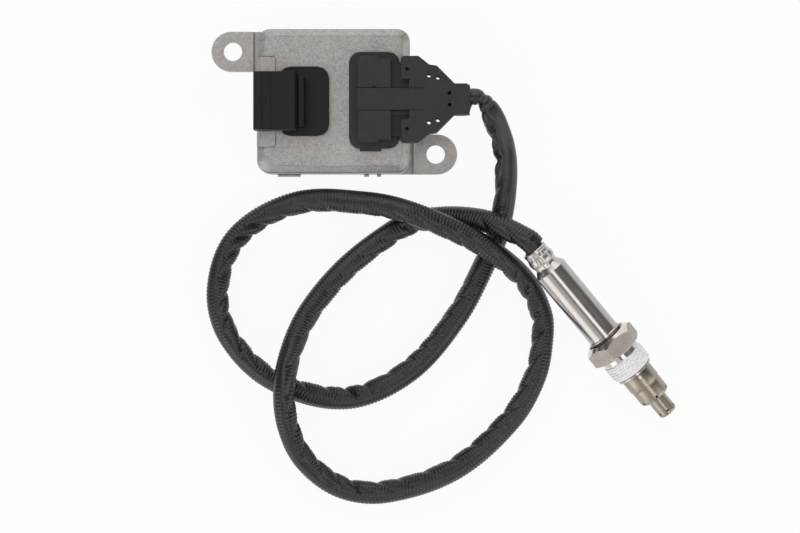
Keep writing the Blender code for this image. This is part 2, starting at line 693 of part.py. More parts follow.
def make_board():
    """Circuit board on its bosses, with its screws and larger components."""
    board = block((-BOARD_X, -BOARD_Y, BOARD_BOTTOM), (BOARD_X, BOARD_Y, BOARD_TOP), BOARD_CORNER)
    holes = [(x, y, SCREW_RADIUS) for x, y in SCREW_PLACES]
    holes += [(PIN_TURN_X, y, PIN_RADIUS) for y in HEADER_PINS]
    holes += [(PLUG_X, y, PLUG_PIN_RADIUS) for y in PLUG_PINS]
    for x, y, radius in holes:
        cut(board, rod((x, y, BOARD_BOTTOM - BEYOND), (x, y, BOARD_TOP + BEYOND), radius + GAP,
                       SMALL_SIDES))
    finish_part("circuit_board", board, BOARD_GREEN)
    for index, (x, y) in enumerate(SCREW_PLACES):
        seat = BOARD_TOP + GAP
        screw = turned([(0.0, seat + SCREW_HEAD_HEIGHT),
                        (SCREW_HEAD_RADIUS - SCREW_SLOT / 2, seat + SCREW_HEAD_HEIGHT),
                        (SCREW_HEAD_RADIUS, seat + SCREW_HEAD_HEIGHT - SCREW_SLOT / 2),
                        (SCREW_HEAD_RADIUS, seat), (SCREW_RADIUS, seat),
                        (SCREW_RADIUS, seat - SCREW_LENGTH), (0.0, seat - SCREW_LENGTH)],
                       False, steps=SCREW_STEPS)
        screw.location = (x, y, 0.0)
        slot_top = seat + SCREW_HEAD_HEIGHT + BEYOND
        slot_bottom = seat + SCREW_HEAD_HEIGHT - SCREW_SLOT
        cut(screw, block((x - SCREW_SLOT / 2, y - SCREW_HEAD_RADIUS - BEYOND, slot_bottom),
                         (x + SCREW_SLOT / 2, y + SCREW_HEAD_RADIUS + BEYOND, slot_top)))
        finish_part(f"board_screw_{index + 1}", screw, STEEL)
    left, low, right, high = half_size(CONTROLLER_SIDE, CONTROLLER_SIDE, 0.0, 0.0)
    chip = block((left, low, BOARD_TOP + GAP), (right, high, BOARD_TOP + GAP + CONTROLLER_HEIGHT),
                 COMPONENT_CORNER, CHIP_EDGE)
    finish_part("controller_chip", chip, BLACK_PLASTIC)
    left, low, right, high = half_size(DRIVER_LENGTH, DRIVER_WIDTH, PLUG_X / 2, COMPONENT_Y)
    driver = block((left, low, BOARD_TOP + GAP), (right, high, BOARD_TOP + GAP + DRIVER_HEIGHT),
                   COMPONENT_CORNER, COMPONENT_CORNER)
    finish_part("heater_driver", driver, BLACK_PLASTIC)
    top = ROOF_UNDER - CAPACITOR_CLEARANCE
    can = turned([(0.0, top), (CAPACITOR_RADIUS - GAP, top), (CAPACITOR_RADIUS, top - GAP),
                  (CAPACITOR_RADIUS, BOARD_TOP + GAP), (0.0, BOARD_TOP + GAP)], False)
    can.location = (HEADER_X / 2, COMPONENT_Y, 0.0)
    finish_part("filter_capacitor", can, ALUMINIUM)


def flanged_base(x, y, length, width, corner):
    """Pad on the cover with its neck through the roof, latches under it and a seal groove."""
    left, low, right, high = half_size(length, width, x, y)
    pad = block((left, low, PAD_BOTTOM), (right, high, PAD_TOP), corner, PAD_EDGE)
    open_x = length / 2 - PAD_MARGIN
    open_y = width / 2 - PAD_MARGIN
    join(pad, block((x - open_x + GAP, y - open_y + GAP, ROOF_UNDER - LATCH_DROP),
                    (x + open_x - GAP, y + open_y - GAP, PAD_TOP - PAD_EDGE),
                    OPENING_CORNER - GAP))
    for side in (-1, 1):
        edges = sorted((y + side * (open_y - LATCH_DROP), y + side * (open_y + LATCH_REACH)))
        join(pad, block((x - LATCH_LENGTH / 2, edges[0], ROOF_UNDER - LATCH_DROP),
                        (x + LATCH_LENGTH / 2, edges[1], ROOF_UNDER - GAP)))
    outer = PAD_MARGIN / 2 - PAD_SEAL_WIDTH / 2
    groove = ring((left + outer - GAP, low + outer - GAP, PAD_BOTTOM - BEYOND),
                  (right - outer + GAP, high - outer + GAP, PAD_BOTTOM + PAD_SEAL_THICKNESS + GAP),
                  corner - outer + GAP, PAD_SEAL_WIDTH + 2 * GAP)
    cut(pad, groove)
    seal = ring((left + outer, low + outer, PAD_BOTTOM),
                (right - outer, high - outer, PAD_BOTTOM + PAD_SEAL_THICKNESS),
                corner - outer, PAD_SEAL_WIDTH)
    return pad, seal


def make_header():
    """Vehicle connector: flanged base, shroud, rear rib and angled pins."""
    header, seal = flanged_base(HEADER_X, HEADER_Y, HEADER_PAD_LENGTH, HEADER_PAD_WIDTH,
                                HEADER_PAD_CORNER)
    low_y = SHROUD_Y - SHROUD_WIDTH / 2
    high_y = SHROUD_Y + SHROUD_WIDTH / 2
    shroud = block((SHROUD_LEFT, low_y, SHROUD_BOTTOM), (SHROUD_RIGHT, high_y, SHROUD_TOP),
                   0.0, SHROUD_EDGE)
    socket = block((SHROUD_LEFT - BEYOND, low_y + SHROUD_WALL, SHROUD_BOTTOM + SHROUD_WALL),
                   (SHROUD_LEFT + SOCKET_DEPTH, high_y - SHROUD_WALL, SHROUD_TOP - SHROUD_WALL))
    rib_low = RIB_Y - RIB_WIDTH / 2
    rib_high = RIB_Y + RIB_WIDTH / 2
    bridge = block((SHROUD_RIGHT - SHROUD_WALL, rib_low, PAD_TOP - PAD_EDGE),
                   (RIB_LEFT + RIB_LENGTH / 2, rib_high, PIN_Z + BRIDGE_RISE))
    rib = block((RIB_LEFT, rib_low, PAD_TOP - PAD_EDGE),
                (RIB_LEFT + RIB_LENGTH, rib_high, SHROUD_TOP - RIB_DROP),
                RIB_CORNER, RIB_LENGTH / 4)
    join(header, shroud, bridge, rib)
    cut(header, socket)
    for side in (-1, 1):
        key_y = SHROUD_Y + side * KEY_SPREAD / 2
        join(header, block((SHROUD_LEFT + SHROUD_WALL, key_y - KEY_WIDTH / 2, SHROUD_BOTTOM + GAP),
                           (SHROUD_LEFT + SOCKET_DEPTH + GAP, key_y + KEY_WIDTH / 2,
                            SHROUD_BOTTOM + SHROUD_WALL + KEY_HEIGHT)))
    channels = []
    for index, y in enumerate(HEADER_PINS):
        path = [(SHROUD_LEFT + PIN_SETBACK, y, PIN_Z), (PIN_TURN_X - PIN_BEND, y, PIN_Z),
                (PIN_TURN_X, y, PIN_Z - PIN_BEND), (PIN_TURN_X, y, PIN_END)]
        channels.append(as_mesh(tube(path, PIN_RADIUS + GAP)))
        finish_part(f"connector_pin_{index + 1}", tube(path, PIN_RADIUS), BRASS)
    cut(header, gather(channels))
    finish_part("connector_header", header, BLACK_PLASTIC)
    finish_part("header_seal", seal, SEAL_RUBBER)


def make_plug_base():
    """Flanged base of the probe-side plug, with its pins and terminals."""
    base, seal = flanged_base(PLUG_X, 0.0, PLUG_PAD_LENGTH, PLUG_PAD_WIDTH, PLUG_PAD_CORNER)
    lip_left = PLUG_X - PLUG_PAD_LENGTH / 2 + PLUG_PAD_CORNER
    lip_y = -PLUG_PAD_WIDTH / 2
    join(base, block((lip_left, lip_y - PAD_LIP_REACH, PAD_BOTTOM),
                     (lip_left + PAD_LIP_LENGTH, lip_y + PAD_LIP_REACH, PAD_TOP - PAD_EDGE)))
    for index, y in enumerate(PLUG_PINS):
        low = (PLUG_X, y, PIN_END)
        high = (PLUG_X, y, PAD_TOP + PLUG_PIN_RISE)
        cut(base, rod(low, high, PLUG_PIN_RADIUS + GAP, SMALL_SIDES))
        finish_part(f"plug_pin_{index + 1}", rod(low, high, PLUG_PIN_RADIUS, SMALL_SIDES), BRASS)
        left = PLUG_X - TERMINAL_SIDE / 2
        terminal = block((left, y - TERMINAL_SIDE / 2, PLUG_BOTTOM),
                         (left + TERMINAL_LENGTH, y + TERMINAL_SIDE / 2,
                          high[2] + TERMINAL_CROWN + GAP))
        cut(terminal, rod((PLUG_X, y, PLUG_BOTTOM - BEYOND), (PLUG_X, y, high[2] + GAP),
                          PLUG_PIN_RADIUS + GAP, SMALL_SIDES))
        finish_part(f"plug_terminal_{index + 1}", terminal, BRASS)
    finish_part("plug_base", base, BLACK_PLASTIC)
    finish_part("plug_seal", seal, SEAL_RUBBER)


def make_plug_housing():
    """Two raised blocks with the strap's channel between them, and a tongue into the boot."""
    half = BLOCK_WIDTH / 2
    housing = block((BLOCK_LEFT, -half, PLUG_BOTTOM), (BLOCK_RIGHT, half, PLUG_TOP),
                    BLOCK_CORNER, BLOCK_EDGE)
    for side in (-1, 1):
        edges = sorted((side * (half - BLOCK_STEP), side * (half + BEYOND)))
        cut(housing, block((PLUG_X + BLOCK_STEP_X, edges[0], PLUG_BOTTOM - BEYOND),
                           (BLOCK_RIGHT + BEYOND, edges[1], PLUG_TOP + BEYOND)))
    channel = STRAP_WIDTH / 2 + GAP
    cut(housing, block((BLOCK_LEFT - BEYOND, -channel, STRAP_BOTTOM - GAP),
                       (BLOCK_RIGHT + BEYOND, channel, PLUG_TOP + BEYOND)),
        rod((PLUG_X, channel, STRAP_BOTTOM - GAP), (PLUG_X, channel, PLUG_TOP + BEYOND),
            NOTCH_RADIUS, SMALL_SIDES))
    tongue_y = TONGUE_WIDTH / 2
    tongue_end = BOOT_LEFT + BOOT_NOTCH_LENGTH + BOOT_WALL
    join(housing, block((BLOCK_RIGHT - BLOCK_WALL, -tongue_y, PLUG_BOTTOM),
                        (tongue_end, tongue_y, TONGUE_TOP)))
    rib_y = channel
    for side in (-1, 1):
        edges = sorted((side * rib_y, side * (rib_y + TONGUE_RIB_WIDTH)))
        join(housing, block((BLOCK_RIGHT - BLOCK_WALL, edges[0], TONGUE_UNDER),
                            (tongue_end - BOOT_WALL, edges[1], TONGUE_TOP + TONGUE_RIB_HEIGHT)))
    cavity_y = half - BLOCK_STEP - BLOCK_WALL
    cut(housing, block((BLOCK_LEFT + BLOCK_WALL, -cavity_y, PLUG_BOTTOM - BEYOND),
                       (BLOCK_RIGHT - BLOCK_WALL, cavity_y, PLUG_TOP - BLOCK_ROOF)),
        block((PLUG_X, TONGUE_WALL - tongue_y, PLUG_BOTTOM - BEYOND),
              (tongue_end + BEYOND, tongue_y - TONGUE_WALL, TONGUE_UNDER)))
    finish_part("plug_housing", housing, BOOT_PLASTIC)


def boot_outline():
    """Whole outline of the boot, counterclockwise."""
    upper = [(BOOT_LEFT + x, y) for x, y in BOOT_OUTLINE]
    return [(x, -y) for x, y in upper] + upper[::-1]


def make_boot():
    """Upper boot shell with its strap, and the lower shell that closes it round the leads."""
    outline = boot_outline()
    hollow = inset(outline, BOOT_WALL)
    upper = plate(outline, SEAM_HIGH, PLUG_TOP)
    form = bmesh.new()
    form.from_mesh(upper.data)
    rim = [side for side in form.edges if all(end.co.z > PLUG_TOP - MERGE for end in side.verts)]
    bmesh.ops.bevel(form, geom=rim, offset=BOOT_EDGE, segments=EDGE_STEPS, profile=0.5,
                    affect='EDGES')
    form.to_mesh(upper.data)
    form.free()
    cut(upper, plate(hollow, SEAM_HIGH - BEYOND, PLUG_TOP - BOOT_WALL))
    bore_start = BOOT_LEFT + BOOT_NECK_START + BOOT_WALL
    lower = plate(outline, BOOT_BOTTOM, SEAM_LOW)
    join(lower, rod((BOOT_LEFT + BOOT_NECK_START, 0.0, EXIT_Z), (BOOT_RIGHT, 0.0, EXIT_Z),
                    EXIT_RADIUS, TURN_STEPS))
    cut(lower, block((BOOT_LEFT, -EXIT_RADIUS * 2, SEAM_LOW),
                     (BOOT_RIGHT + BEYOND, EXIT_RADIUS * 2, PLUG_TOP + BEYOND)),
        plate(hollow, BOOT_BOTTOM + BOOT_WALL, SEAM_LOW + BEYOND),
        rod((bore_start, 0.0, EXIT_Z), (BOOT_RIGHT - BOOT_WALL, 0.0, EXIT_Z),
            NECK_BORE))
    for shell in (upper, lower):
        cut(shell, rod((bore_start, 0.0, EXIT_Z), (BOOT_RIGHT + BEYOND, 0.0, EXIT_Z), EXIT_BORE))
    tongue_y = TONGUE_WIDTH / 2 + GAP
    mouth_low = (BOOT_LEFT - BEYOND, -tongue_y, PLUG_BOTTOM - GAP)
    mouth_high = (BOOT_LEFT + BOOT_WALL + BEYOND, tongue_y, TONGUE_TOP + GAP)
    cut(upper, block(mouth_low, mouth_high))
    cut(lower, block(mouth_low, mouth_high))
    for side in (-1, 1):
        edges = sorted((side * STRAP_WIDTH / 2, side * BOOT_NOTCH_REACH))
        cut(upper, block((BOOT_LEFT - BEYOND, edges[0], SEAM_HIGH - BEYOND),
                         (BOOT_LEFT + BOOT_NOTCH_LENGTH, edges[1], PLUG_TOP + BEYOND)))
    join(upper, block((BLOCK_LEFT, -STRAP_WIDTH / 2, STRAP_BOTTOM),
                      (BOOT_LEFT + BOOT_NOTCH_LENGTH + BOOT_WALL, STRAP_WIDTH / 2, PLUG_TOP)))
    for side in (-1, 1):
        for x, y in BOOT_THROUGH_HOLES + BOOT_BLIND_HOLES:
            place = (BOOT_LEFT + x, side * y)
            cut(upper, rod((*place, SEAM_LOW), (*place, PLUG_TOP + BEYOND), BOOT_HOLE_RADIUS,
                           SMALL_SIDES))
        for x, y in BOOT_THROUGH_HOLES:
            place = (BOOT_LEFT + x, side * y)
            cut(lower, rod((*place, BOOT_BOTTOM - BEYOND), (*place, EXIT_Z), BOOT_HOLE_RADIUS,
                           SMALL_SIDES))
    finish_part("boot_upper", upper, BOOT_PLASTIC)
    finish_part("boot_lower", lower, BOOT_PLASTIC)


def make_plug_leads():
    """Lead wires from the plug's terminals to the mouth of the cable sleeve."""
    start_x = PLUG_X - TERMINAL_SIDE / 2 + TERMINAL_LENGTH + GAP
    run_z = PLUG_BOTTOM + LEAD_RADIUS
    heights = (-1, 1, 1, -1)
    for index, y in enumerate(PLUG_PINS):
        end_y = math.copysign(LEAD_BUNDLE, y)
        end_z = EXIT_Z + heights[index] * LEAD_BUNDLE
        route = [(start_x, y, run_z), (BOOT_LEFT, y, run_z),
                 (BOOT_LEFT + BOOT_THROUGH_HOLES[0][0], y + (end_y - y) * LEAD_GATHER, run_z),
                 (BOOT_LEFT + BOOT_NECK_START + LEAD_DROP, end_y, end_z),
                 (BOOT_RIGHT, end_y, end_z)]
        points = smooth_points(route, (1, 0, 0), (1, 0, 0), LEAD_SPACING)
        finish_part(f"plug_lead_{index + 1}", tube(points, LEAD_RADIUS), LEAD_COLOUR)


def add_probe_axis():
    """Empty at the probe's cable end: local Z runs to the tip, local Y lies level."""
    axis = bpy.data.objects.new("probe_axis", None)
    bpy.data.collections[PART_GROUP].objects.link(axis)
    level = PROBE_WAY.cross(Vector((0.0, 0.0, 1.0))).normalized()
    turn = Matrix((level.cross(PROBE_WAY), level, PROBE_WAY)).transposed()
    axis.matrix_world = Matrix.Translation((PROBE_START_X, PROBE_START_Y, PROBE_Z)) @ turn.to_4x4()
    bpy.context.view_layer.update()
    return axis


def make_probe_sleeve(axis):
    """Steel sleeve: tube, shoulder and a neck crimped in two places."""
    outer = [(TUBE_RADIUS, SLEEVE_END), (TUBE_RADIUS, HEX_START - BEAD_HEIGHT),
             (TUBE_RADIUS + BEAD_HEIGHT, HEX_START - 2 * BEAD_HEIGHT),
             (TUBE_RADIUS + BEAD_HEIGHT, HEX_START - BEAD_LENGTH - BEAD_HEIGHT),
             (TUBE_RADIUS, HEX_START - BEAD_LENGTH - 2 * BEAD_HEIGHT),
             (TUBE_RADIUS, SHOULDER_END), (NECK_RADIUS, NECK_LENGTH)]
    for place in sorted(CRIMP_PLACES, reverse=True):
        outer += [(NECK_RADIUS, place + CRIMP_LENGTH / 2 + CRIMP_RAMP),
                  (CRIMP_RADIUS, place + CRIMP_LENGTH / 2),
                  (CRIMP_RADIUS, place - CRIMP_LENGTH / 2),
                  (NECK_RADIUS, place - CRIMP_LENGTH / 2 - CRIMP_RAMP)]
    outer.append((NECK_RADIUS, GAP))
    bore = CRIMP_RADIUS - TUBE_WALL
    inner = [(bore, GAP), (bore, NECK_LENGTH), (TUBE_INNER, SHOULDER_END + TUBE_WALL / 2),
             (TUBE_INNER, SLEEVE_END)]
    finish_part("probe_sleeve", turned(outer + inner, True, axis), STEEL)


def wire_places():
    """Middles of the wires round the probe's axis."""
    angles = [math.tau * (index + 0.5) / PROBE_WIRE_COUNT for index in range(PROBE_WIRE_COUNT)]
    return [(PROBE_WIRE_CIRCLE * math.cos(turn), PROBE_WIRE_CIRCLE * math.sin(turn))
            for turn in angles]


def slot_tool(axis, start, end):
    """Cutter of the slot that the sensing element lies in."""
    x = ELEMENT_THICKNESS / 2 + GAP
    y = ELEMENT_WIDTH / 2 + GAP
    return block((-x, -y, start), (x, y, end), parent=axis)


def make_probe_inside(axis):
    """Grommet, wires, contact holder, insulators, powder seal and sensing element."""
    grommet = rod((0, 0, GAP), (0, 0, GAP + GROMMET_LENGTH), GROMMET_RADIUS, parent=axis)
    holder = rod((0, 0, HOLDER_START), (0, 0, HOLDER_END), SKIRT_RADIUS, parent=axis)
    wire_end = HOLDER_START + PROBE_WIRE_SEAT
    for index, (x, y) in enumerate(wire_places()):
        hole = PROBE_WIRE_RADIUS + GAP
        cut(grommet, rod((x, y, -BEYOND), (x, y, wire_end), hole, SMALL_SIDES, axis))
        cut(holder, rod((x, y, -BEYOND), (x, y, wire_end + GAP), hole, SMALL_SIDES, axis))
        wire = rod((x, y, GAP), (x, y, wire_end), PROBE_WIRE_RADIUS, SMALL_SIDES, axis)
        finish_part(f"probe_lead_{index + 1}", wire, LEAD_COLOUR)
    element_end = TIP_END - ELEMENT_SHORT_OF_TIP
    element_start = element_end - ELEMENT_LENGTH
    cut(holder, slot_tool(axis, element_start - GAP, HOLDER_END + BEYOND))
    finish_part("neck_grommet", grommet, SEAL_RUBBER)
    finish_part("contact_holder", holder, CERAMIC)
    upper_start = BODY_START
    powder_start = upper_start + UPPER_INSULATOR_LENGTH + GAP
    lower_start = powder_start + POWDER_LENGTH + GAP
    lower_end = SPIGOT_END - SPIGOT_LIP - GAP
    for name, start, end in (("upper_insulator", upper_start, powder_start - GAP),
                             ("powder_seal", powder_start, lower_start - GAP),
                             ("lower_insulator", lower_start, lower_end)):
        piece = rod((0, 0, start), (0, 0, end), INSULATOR_RADIUS, parent=axis)
        cut(piece, slot_tool(axis, start - BEYOND, end + BEYOND))
        finish_part(name, piece, CERAMIC)
    element = block((-ELEMENT_THICKNESS / 2, -ELEMENT_WIDTH / 2, element_start),
                    (ELEMENT_THICKNESS / 2, ELEMENT_WIDTH / 2, element_end), parent=axis)
    finish_part("sensing_element", element, CERAMIC)


def make_sensor_body(axis):
    """Turned steel body inside the nut, with the seat flange, a collar and the guards' spigot."""
    flange = NUT_BORE + FLANGE_LIP
    collar = GUARD_RADIUS + GAP
    shell = TUBE_RADIUS
    outer = [(SPIGOT_RADIUS, SPIGOT_END), (SPIGOT_RADIUS, COLLAR_END), (collar, COLLAR_END),
             (collar, FLANGE_END), (flange, FLANGE_END), (flange, FLANGE_START),
             (shell, FLANGE_START), (shell, SLEEVE_END + GAP),
             (SKIRT_RADIUS, SLEEVE_END + GAP), (SKIRT_RADIUS, BODY_START)]
    inner = [(BODY_BORE, BODY_START), (BODY_BORE, SPIGOT_END - SPIGOT_LIP),
             (BODY_BORE - SPIGOT_LIP_STEP, SPIGOT_END - SPIGOT_LIP),
             (BODY_BORE - SPIGOT_LIP_STEP, SPIGOT_END)]
    finish_part("sensor_body", turned(outer + inner, True, axis), SATIN_STEEL)


def make_nut(axis):
    """Captive nut: hexagon with chamfered corners, threaded shank and a bore clear of the body."""
    corners = [(HEX_CORNER * math.cos(HEX_TURN + math.tau * index / 6),
                HEX_CORNER * math.sin(HEX_TURN + math.tau * index / 6)) for index in range(6)]
    nut = plate(corners, HEX_START, HEX_END)
    nut.parent = axis
    flat = HEX_ACROSS_FLATS / 2
    rim = COUNTERBORE + HEX_RIM
    limit = turned([(0.0, HEX_END + BEYOND), (flat - HEX_CHAMFER, HEX_END + BEYOND),
                    (flat, HEX_END), (HEX_CORNER + BEYOND, HEX_END - HEX_CHAMFER),
                    (HEX_CORNER + BEYOND, HEX_START + HEX_LEAD), (HEX_CORNER, HEX_START + HEX_LEAD),
                    (rim, HEX_START), (rim, HEX_START - BEYOND), (0.0, HEX_START - BEYOND)],
                   False, axis)
    step = nut.modifiers.new("chamfer", 'BOOLEAN')
    step.operation = 'INTERSECT'
    step.object = limit
    shank = turned([(0.0, NUT_END), (THREAD_RADIUS - HEX_CHAMFER / 2, NUT_END),
                    (THREAD_RADIUS, NUT_END - HEX_CHAMFER / 2),
                    (THREAD_RADIUS, HEX_END - HEX_CHAMFER), (0.0, HEX_END - HEX_CHAMFER)],
                   False, axis)
    join(nut, shank)
    bore = turned([(0.0, NUT_END + BEYOND), (NUT_BORE, NUT_END + BEYOND),
                   (NUT_BORE, HEX_START + COUNTERBORE_DEPTH),
                   (COUNTERBORE, HEX_START + COUNTERBORE_DEPTH),
                   (COUNTERBORE, HEX_START - BEYOND), (0.0, HEX_START - BEYOND)], False, axis)
    cut(nut, bore)
    finish_part("hex_nut", nut, STEEL)


def make_guards(axis):
    """Outer guard with its crimped groove, and the inner guard that ends in the tip."""
    straight = GUARD_RADIUS - GUARD_TAPER
    groove = GUARD_START + GUARD_GROOVE_AT
    depth = GUARD_GROOVE_DEPTH
    rounding = GUARD_END_RADIUS
    outer = [(straight - rounding, GUARD_END),
             (straight - rounding * CORNER_TRIM, GUARD_END - rounding * CORNER_TRIM),
             (straight, GUARD_END - rounding), (straight, groove + depth),
             (straight - depth, groove), (straight, groove - depth),
             (GUARD_RADIUS, groove - 2 * depth), (GUARD_RADIUS, GUARD_START)]
    tip_hole = TIP_RADIUS + GAP
    roof = GUARD_END - GUARD_WALL
    inner = [(GUARD_INNER, GUARD_START), (GUARD_INNER, roof - rounding + GUARD_WALL),
             (GUARD_INNER - rounding / 2, roof), (tip_hole, roof), (tip_hole, GUARD_END)]
    guard = turned(outer + inner, True, axis)
    tip_start = SPIGOT_END + GAP
    straight_end = TIP_END - TIP_END_RADIUS
    inside = TIP_RADIUS - TIP_WALL
    tip = turned([(0.0, TIP_END), (TIP_RADIUS - TIP_END_RADIUS, TIP_END),
                  (TIP_RADIUS - TIP_END_RADIUS * CORNER_TRIM, TIP_END - TIP_END_RADIUS * CORNER_TRIM),
                  (TIP_RADIUS, straight_end), (TIP_RADIUS, tip_start + TIP_FLANGE),
                  (SPIGOT_RADIUS, tip_start + TIP_FLANGE), (SPIGOT_RADIUS, tip_start),
                  (inside, tip_start), (inside, TIP_END - TIP_WALL - TIP_END_RADIUS / 2),
                  (inside - TIP_END_RADIUS / 2, TIP_END - TIP_WALL),
                  (0.0, TIP_END - TIP_WALL)], False, axis)
    for index in range(GUARD_HOLES):
        turn = GUARD_TURN + math.tau * index / GUARD_HOLES
        way = (math.cos(turn), math.sin(turn))
        at = GUARD_END - GUARD_HOLE_INSET
        cut(guard, rod((way[0] * tip_hole, way[1] * tip_hole, at - rounding),
                       (way[0] * GUARD_RADIUS, way[1] * GUARD_RADIUS, at + GUARD_HOLE_LEAN),
                       GUARD_HOLE_RADIUS, SMALL_SIDES, axis))
        at = TIP_END - TIP_HOLE_INSET
        reach = TIP_RADIUS + BEYOND
        cut(tip, rod((way[0] * ELEMENT_WIDTH / 2, way[1] * ELEMENT_WIDTH / 2, at),
                     (way[0] * reach, way[1] * reach, at), TIP_HOLE_RADIUS, SMALL_SIDES,
                     axis))
    finish_part("outer_guard", guard, SATIN_STEEL)
    finish_part("inner_guard", tip, SATIN_STEEL)


def make_cable_sleeve():
    """Ribbed cable sleeve as a plain tube, lying in its loops from the boot to the probe."""
    start = Vector((BOOT_RIGHT + GAP, 0.0, EXIT_Z))
    end = Vector((PROBE_START_X, PROBE_START_Y, PROBE_Z))
    out = Vector((1.0, 0.0, 0.0))
    route = [start + out * STRAIGHT_END, *SLEEVE_ROUTE, end - PROBE_WAY * STRAIGHT_END]
    points = [start, *smooth_points(route, out, PROBE_WAY, POINT_SPACING), end]
    finish_part("cable_sleeve", tube(points, SLEEVE_RADIUS, SLEEVE_STEPS), SLEEVE_BLACK)


def main():
    start_scene()
    make_base_plate()
    make_cover()
    make_board()
    make_header()
    make_plug_base()
    make_plug_housing()
    make_boot()
    make_plug_leads()
    make_cable_sleeve()
    axis = add_probe_axis()
    make_probe_sleeve(axis)
    make_probe_inside(axis)
    make_sensor_body(axis)
    make_nut(axis)
    make_guards(axis)


main()
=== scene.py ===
"""Looks of a nitrogen oxide sensor: finishes, fine shapes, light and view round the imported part.

Metres and +Z up, as in the part. Lengths along the probe are measured from its cable end.
"""

import math
import random

import bmesh
import bpy
import numpy as np
from bpy.props import FloatProperty, FloatVectorProperty, IntProperty, PointerProperty
from mathutils import Matrix, Vector, noise
from mathutils.geometry import interpolate_bezier


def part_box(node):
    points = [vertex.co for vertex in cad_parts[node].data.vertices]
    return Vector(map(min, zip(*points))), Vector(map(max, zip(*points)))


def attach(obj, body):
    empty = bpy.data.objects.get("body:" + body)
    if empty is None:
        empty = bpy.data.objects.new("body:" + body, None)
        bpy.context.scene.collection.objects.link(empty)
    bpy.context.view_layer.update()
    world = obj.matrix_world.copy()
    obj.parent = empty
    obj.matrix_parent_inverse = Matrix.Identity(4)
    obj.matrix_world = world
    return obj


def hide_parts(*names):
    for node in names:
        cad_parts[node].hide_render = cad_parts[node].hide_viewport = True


bl_info = {
    "name": "Exhaust Sensor Looks",
    "version": (1, 0, 0),
    "blender": (4, 5, 0),
    "location": "3D View > Sidebar > Sensor",
    "description": "Finishes and fine shapes of a nitrogen oxide sensor",
    "category": "Object",
}

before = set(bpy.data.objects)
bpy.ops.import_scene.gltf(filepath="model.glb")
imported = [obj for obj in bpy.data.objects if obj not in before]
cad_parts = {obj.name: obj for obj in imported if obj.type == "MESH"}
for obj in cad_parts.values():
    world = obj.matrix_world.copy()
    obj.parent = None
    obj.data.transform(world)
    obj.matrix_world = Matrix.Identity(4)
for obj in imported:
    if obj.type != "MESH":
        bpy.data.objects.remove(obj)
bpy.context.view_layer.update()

ASSEMBLY = "assembly"
NUT = "nut"
MM = 0.001


def mm(*numbers):
    """Lengths in metres from millimetres."""
    return tuple(number * MM for number in numbers)


# Places on the module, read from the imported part
COVER_LOW, COVER_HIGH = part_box("cover")
ROOF = COVER_HIGH.z
HEADER_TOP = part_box("connector_header")[1].z
BOOT_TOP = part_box("boot_upper")[1].z

# Level of the light
LIGHT = 0.85

# The probe's own frame: local Z runs to the tip and local Y lies level
PROBE_START = Vector((0.0929, -0.0691, 0.0217278))
PROBE_ANGLE = math.radians(-49.95)
PROBE_TILT = math.radians(7.5)
PROBE_WAY = Vector((math.cos(PROBE_ANGLE) * math.cos(PROBE_TILT),
                    math.sin(PROBE_ANGLE) * math.cos(PROBE_TILT), -math.sin(PROBE_TILT)))
PROBE_LEVEL = PROBE_WAY.cross(Vector((0.0, 0.0, 1.0))).normalized()
PROBE_FRAME = (Matrix.Translation(PROBE_START)
               @ Matrix((PROBE_LEVEL.cross(PROBE_WAY), PROBE_LEVEL,
                         PROBE_WAY)).transposed().to_4x4())

# Middle line of the cable sleeve, at places a few millimetres beside that of the part
SLEEVE_START = Vector((0.0638, 0.0, 0.0218))
STRAIGHT_START = 0.0015
STRAIGHT_END = 0.003
SLEEVE_ROUTE = (
    (0.0700, -0.0027, 0.0212), (0.0738, -0.0070, 0.0200), (0.0769, -0.0134, 0.0175),
    (0.0795, -0.0205, 0.0140), (0.0810, -0.0290, 0.0098), (0.0811, -0.0390, 0.0066),
    (0.0798, -0.0505, 0.0058), (0.0767, -0.0638, 0.0058), (0.0718, -0.0747, 0.0058),
    (0.0580, -0.1003, 0.0058), (0.0346, -0.1270, 0.0058), (0.0054, -0.1394, 0.0058),
    (-0.0283, -0.1308, 0.0058), (-0.0492, -0.1106, 0.0058), (-0.0548, -0.0880, 0.0058),
    (-0.0456, -0.0632, 0.0058), (-0.0183, -0.0476, 0.0066), (0.0155, -0.0478, 0.0135),
    (0.0370, -0.0526, 0.0190), (0.0621, -0.0632, 0.0194), (0.0770, -0.0724, 0.0184),
    (0.0905, -0.0850, 0.0104), (0.0977, -0.0999, 0.0064), (0.0981, -0.1112, 0.0058),
    (0.0947, -0.1290, 0.0058), (0.0833, -0.1493, 0.0058), (0.0574, -0.1723, 0.0058),
    (0.0246, -0.1833, 0.0058), (0.0035, -0.1812, 0.0062), (-0.0133, -0.1686, 0.0102),
    (-0.0212, -0.1520, 0.0160), (-0.0229, -0.1340, 0.0184), (-0.0195, -0.1160, 0.0138),
    (-0.0110, -0.0980, 0.0076), (0.0062, -0.0776, 0.0058), (0.0285, -0.0604, 0.0058),
    (0.0390, -0.0558, 0.0059), (0.0485, -0.0545, 0.0064), (0.0570, -0.0543, 0.0085),
    (0.0640, -0.0549, 0.0113), (0.0700, -0.0559, 0.0143), (0.0757, -0.0578, 0.0172),
    (0.0817, -0.0606, 0.0196), (0.0873, -0.0641, 0.0213),
)


